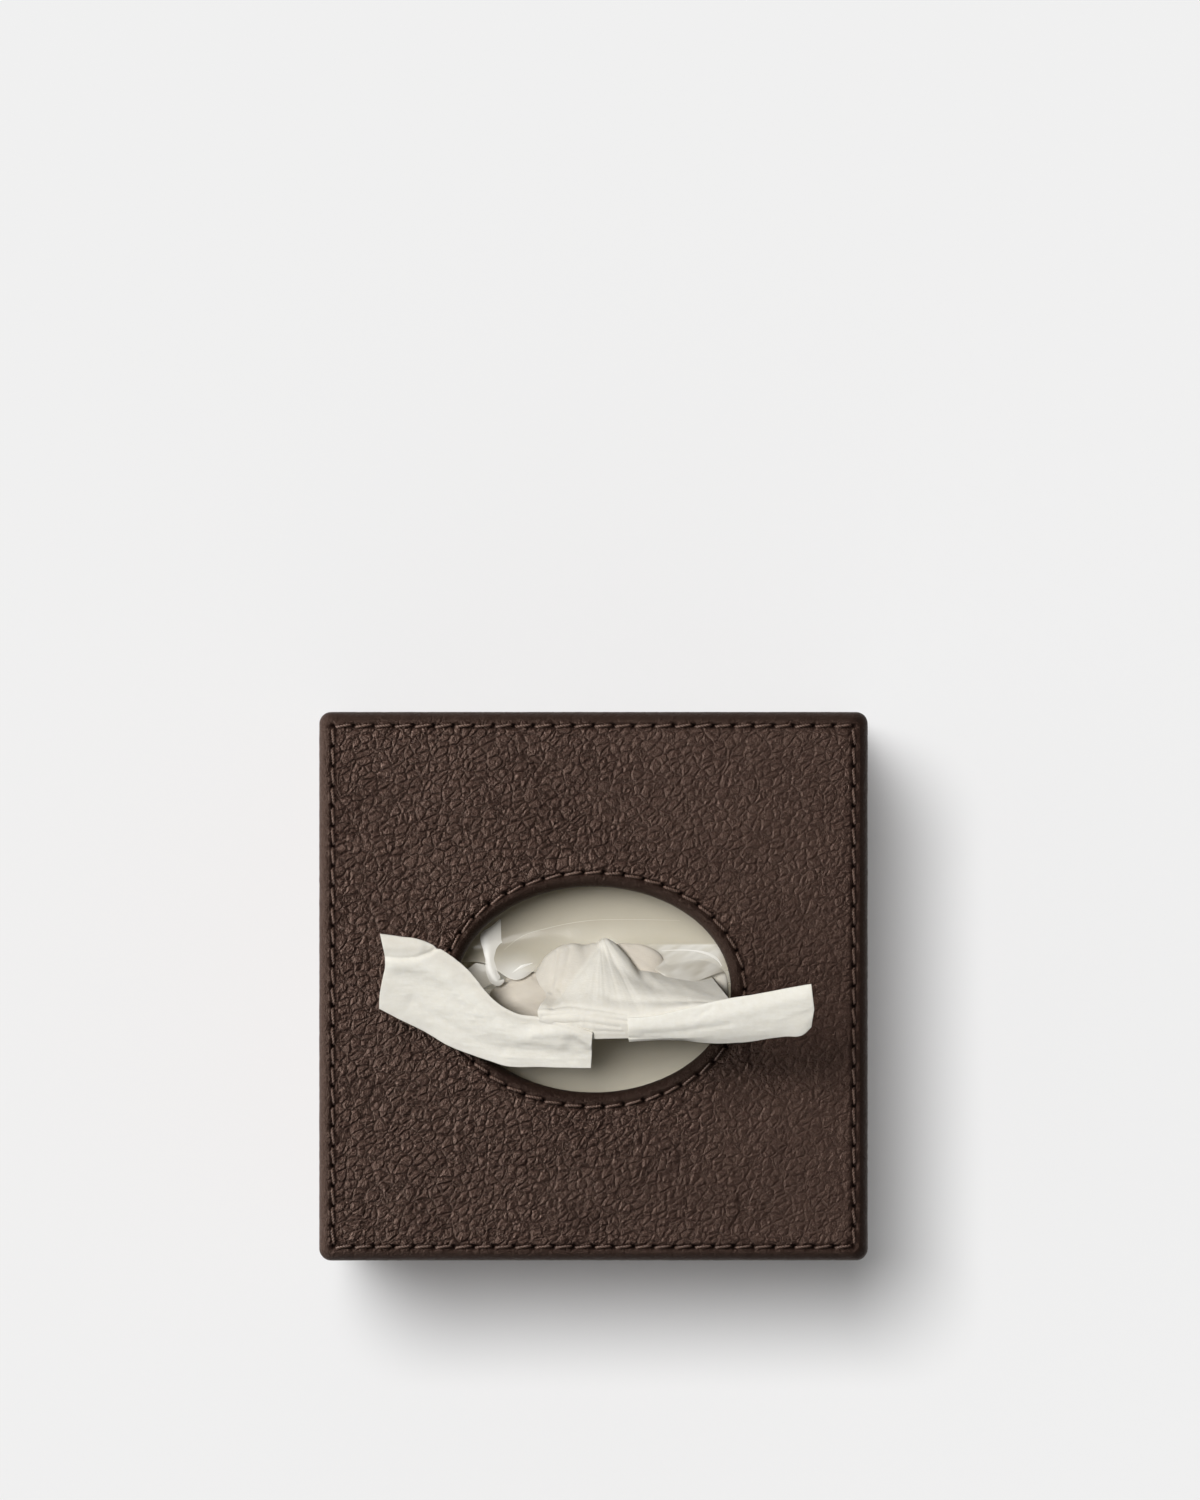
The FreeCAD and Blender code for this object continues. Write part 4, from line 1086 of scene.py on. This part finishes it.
def crepe(grid, seed, strength):
    """The fine creping and soft crumples of the paper, along the normals of a grid."""
    x, y = xy(grid)
    z = grid[..., 2]
    fine = value_noise(x / 2.6 + z / 4, (y + 0.6 * z) / 0.8, seed)
    soft = value_noise(x / 7.5, (y + 0.5 * z) / 3.2, seed + 1)
    dimple = value_noise(x / 1.7, (y + 0.6 * z) / 1.4, seed + 2)
    return strength * (0.04 * fine + 0.13 * soft + 0.03 * dimple)


def between(low, high, share, lift):
    """A line at a share of the way from one line to another, lifted."""
    line = low * (1 - share) + high * share
    line[:, 2] += lift
    return line


# Shares of the way across each flap, with how far its upper side is lifted and its underside dropped there
LEFT_OVER = (
    (0, 0), (0.18, 0.55), (0.38, 0.75), (0.58, 0.6), (0.74, 0.9), (0.88, 1.0), (0.96, 0.7), (1, 0),
)
LEFT_UNDER = ((0.97, 0.75), (0.86, 1.5), (0.55, 2.2))
RIGHT_OVER = ((0.12, 0.35), (0.35, 0.6), (0.62, 0.6), (0.86, 0.4), (0.96, 0.2))
RIGHT_UNDER = ((0.95, 0.8), (0.75, 2.0), (0.3, 2.6))


def left_flap():
    """The flap at the left: from its hem up to its fold, and some way back beneath."""
    steps = 150
    hem = spline(LEFT_HEM, steps)
    fold = spline(LEFT_FOLD, steps)
    u = np.linspace(0, 1, steps)
    rows = []
    for share, lift in LEFT_OVER:
        row = between(hem, fold, share, lift * (0.7 + 0.5 * np.sin(u * 5.0 + share * 2.4)))
        row[:, 0] += 1.5 * bell(u, 0.05) * bell(share - 0.62, 0.3)
        rows.append(row)
    for share, drop in LEFT_UNDER:
        row = between(hem, fold, share, -drop)
        row[:, 0] += 2.6 * bell(u, 0.06) * bell(share - 0.62, 0.3)
        rows.append(row)
    grid = loft(rows, 300, 130)
    x, y = xy(grid)
    along = np.linspace(0, 1, len(grid))[:, None] * np.ones_like(x)
    crown = 8 / 11
    height = crepe(grid, 81, 1.0) + folds(x, y, LEFT_FOLDS)
    height += 0.06 * bell(x + 30, 9) * value_noise(x / 1.3, y / 1.3, 84) * bell(along - 0.35, 0.2)
    fade = smoothstep(crown + 0.03, crown - 0.02, along)
    # a narrow band of painted shade near the flap's upper fold
    ply = 1 - 0.25 * bell(along - 0.6, 0.06)
    return raised(grid, height * fade, False), ply


def right_flap():
    """The flap at the right: from its hem round a bend to its fold, and some way back beneath."""
    steps = 120
    fold = spline(RIGHT_FOLD, steps)
    bend = spline(RIGHT_BEND, steps)
    hem = spline(RIGHT_HEM, steps)
    rows = [hem, hem * 0.45 + bend * 0.55 + [0, 0, 0.25], bend]
    rows += [between(bend, fold, share, lift) for share, lift in RIGHT_OVER]
    rows.append(fold)
    rows += [between(bend, fold, share, -drop) for share, drop in RIGHT_UNDER]
    grid = loft(rows, 260, 110)
    x, y = xy(grid)
    along = np.linspace(0, 1, len(grid))[:, None]
    height = crepe(grid, 91, 0.7) + folds(x, y, RIGHT_FOLDS) * bell(along - 0.45, 0.25)
    height += 0.1 * bell(x - 26, 4) * value_noise(x / 1.8, y / 1.5, 94) * bell(along - 0.45, 0.14)
    return raised(grid, height, False), np.ones_like(x)


def fan():
    """The layer that rises out of the slit and spreads to the flaps."""
    grid = loft(FAN_ROWS, 320, 190)
    x, y = xy(grid)
    above = smoothstep(132, 136, grid[..., 2])
    bend = np.arctan2(x - 1.5, 13.0 - y)
    soft = 0.12 * value_noise(bend * 9, y / 18, 101) + 0.03 * value_noise(bend * 26, y / 9, 102)
    height = (soft + folds(x, y, FAN_FOLDS) + crepe(grid, 104, 0.5)) * above
    side = (x + 9.8) * 13.8 - (y + 4.2) * 10.7
    lobe = smoothstep(12, -12, side)
    # painted shade: the fan is a little dull all over, and duller on its left lobe, which lies deeper
    ply = 0.82 - 0.3 * lobe * smoothstep(-5.5, -2.5, y)
    return raised(grid, -height, False), ply


def mound():
    """The lower layer, which lies in the slit under the fan."""
    grid = loft(MOUND_ROWS, 260, 110)
    x, y = xy(grid)
    above = smoothstep(131, 134, grid[..., 2])
    streak = 0.16 * value_noise((x + 1.3 * y) / 2.2, (y - 0.4 * x) / 7, 111)
    height = (streak + crepe(grid, 112, 0.6)) * above
    # painted shade: the lower layer, deep in the slit, is dull, and less so at its right under the film
    ply = 0.25 + 0.3 * smoothstep(16, 19, x)
    return raised(grid, -height, False), ply


def make_pulled_tissue():
    """The sheet's four layers as one piece, with the paper's thickness."""
    layers = (left_flap(), right_flap(), fan(), mound())
    points, faces = join([(grid, False) for grid, ply in layers])
    fields = {"ply": np.concatenate([ply.ravel() for grid, ply in layers])}
    piece = new_piece("pulled_sheet", points, faces, "tissue", TISSUE, fields)
    thick = piece.modifiers.new("thickness", "SOLIDIFY")
    thick.thickness = 0.00012
    thick.offset = 0.0
    return piece


# The whole object

top_skin = make_top_leather()
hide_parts("top_leather")
wall_skin = make_side_leather()
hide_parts("side_leather")
base_skin = make_base_leather()
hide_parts("base_leather")
side_lining, top_lining, base_lining = make_linings()
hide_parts("side_lining")
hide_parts("top_lining")
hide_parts("base_lining")
edge_thread = make_stitching("edge_thread", edge_holes(), 0.2)
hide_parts("edge_stitching")
rim_thread = make_stitching("rim_thread", [rim_holes()], 0.16)
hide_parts("rim_stitching")
carton = make_carton()
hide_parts("carton")
stack = make_stack()
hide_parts("tissue_stack")
film = make_film()
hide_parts("window_film")
pulled = make_pulled_tissue()
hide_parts("pulled_tissue")

WALLS = ["front", "back", "left", "right"]
CARRIED = {"ledge_magnets": MAGNET, "strike_plates": STEEL}
for wall_name in WALLS:
    CARRIED[wall_name + "_ledge"] = BEECH
for board_name in WALLS + ["top", "base"]:
    CARRIED[board_name + "_board"] = FIBREBOARD
for node_name, node_material in CARRIED.items():
    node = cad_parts[node_name]
    node.data.materials.clear()
    node.data.materials.append(node_material)


# Floor, light and camera

FLOOR_HALF = 12.0
floor_mesh = bpy.data.meshes.new("floor")
floor_corners = [(x * FLOOR_HALF, y * FLOOR_HALF, 0) for x, y in ((-1, -1), (1, -1), (1, 1), (-1, 1))]
floor_mesh.from_pydata(floor_corners, [], [(0, 1, 2, 3)])
floor = bpy.data.objects.new("floor", floor_mesh)
bpy.context.collection.objects.link(floor)
floor_material = new_material("pale_floor")
floor_shader = add(floor_material, "BsdfDiffuse", {"Color": (0.88, 0.88, 0.88, 1.0)})
floor_mesh.materials.append(surface(floor_material, floor_shader.outputs["BSDF"]))
floor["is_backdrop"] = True

world = bpy.data.worlds.new("soft_room")
bpy.context.scene.world = world
world.use_nodes = True
background = world.node_tree.nodes["Background"]
background.inputs["Color"].default_value = (1.0, 1.0, 1.0, 1.0)
background.inputs["Strength"].default_value = 0.11

LAMP_TARGET = Vector((0.0, 0.0, 0.13))
SUN_DISTANCE = 3.0


def collect(name, things):
    """A collection of things, for light linking."""
    collection = bpy.data.collections.new(name)
    for thing in things:
        collection.objects.link(thing)
    return collection


def new_lamp(name, kind, energy, from_direction, distance, lit):
    """A lamp at a distance from the target, in a direction, that points at it and lights only some things."""
    data = bpy.data.lights.new(name, kind)
    data.energy = energy
    lamp = bpy.data.objects.new(name, data)
    bpy.context.collection.objects.link(lamp)
    direction = Vector(from_direction).normalized()
    lamp.location = LAMP_TARGET + direction * distance
    lamp.rotation_mode = "QUATERNION"
    lamp.rotation_quaternion = direction.to_track_quat("Z", "Y")
    lamp.light_linking.receiver_collection = collect(name + "_receivers", lit)
    return lamp


def new_sun(name, energy, spread, from_direction, lit):
    """A sun, with how wide it looks in degrees."""
    sun = new_lamp(name, "SUN", energy, from_direction, SUN_DISTANCE, lit)
    sun.data.angle = math.radians(spread)
    return sun


INSIDE = [film, stack, carton]
OUTSIDE = [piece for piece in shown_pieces() if piece not in INSIDE + [pulled]]
TOP_SIDE = [top_skin, edge_thread, rim_thread]

new_sun("overhead", 0.15, 16.0, (-0.3, 0.2, 1.0), OUTSIDE)
new_sun("sheet_light", 3.45, 20.0, (-0.42, 0.2, 1.0), [pulled])
window_light = new_sun("window_light", 2.95, 38.0, (-0.4, 0.3, 1.0), INSIDE)
# only these cast the window light's shadows
blockers = collect("window_light_blockers", [top_skin, wall_skin, carton, pulled])
window_light.light_linking.blocker_collection = blockers
new_sun("floor_light", 2.52, 14.0, (-0.113, 0.155, 1.0), [floor])
floor_fill = new_lamp("floor_fill", "SUN", 0.3, (0.0, 0.0, 1.0), SUN_DISTANCE, [floor])
floor_fill.data.use_shadow = False

key = new_lamp("key", "AREA", 5.7, (-0.65, 1.05, 1.0), 0.75, OUTSIDE)
key.data.shape = "DISK"
key.data.size = 0.3
key.visible_glossy = False

side = new_lamp("side", "AREA", 7.1, (-1.0, 0.02, 0.17), 0.6, [wall_skin] + TOP_SIDE)
side.data.shape = "RECTANGLE"
side.data.size = 0.5
side.data.size_y = 0.2

WALL_SIDE = [piece for piece in OUTSIDE + [carton] if piece not in TOP_SIDE]
new_sun("front_fill", 2.1, 30.0, (0.55, -1.0, 0.75), WALL_SIDE)

CAMERA_HEIGHT = 2.5
CAMERA_X = 0.00154
CAMERA_Y = 0.0560
FRAME_TALL = 0.3552
SENSOR = 36.0
camera_data = bpy.data.cameras.new("camera")
camera_data.sensor_width = SENSOR
camera_data.lens = SENSOR * CAMERA_HEIGHT / FRAME_TALL
camera_data.clip_end = 20.0
camera = bpy.data.objects.new("camera", camera_data)
camera.location = (CAMERA_X, CAMERA_Y, TOP * MM + CAMERA_HEIGHT)
bpy.context.collection.objects.link(camera)
bpy.context.scene.camera = camera
bpy.context.scene.view_settings.view_transform = "Standard"
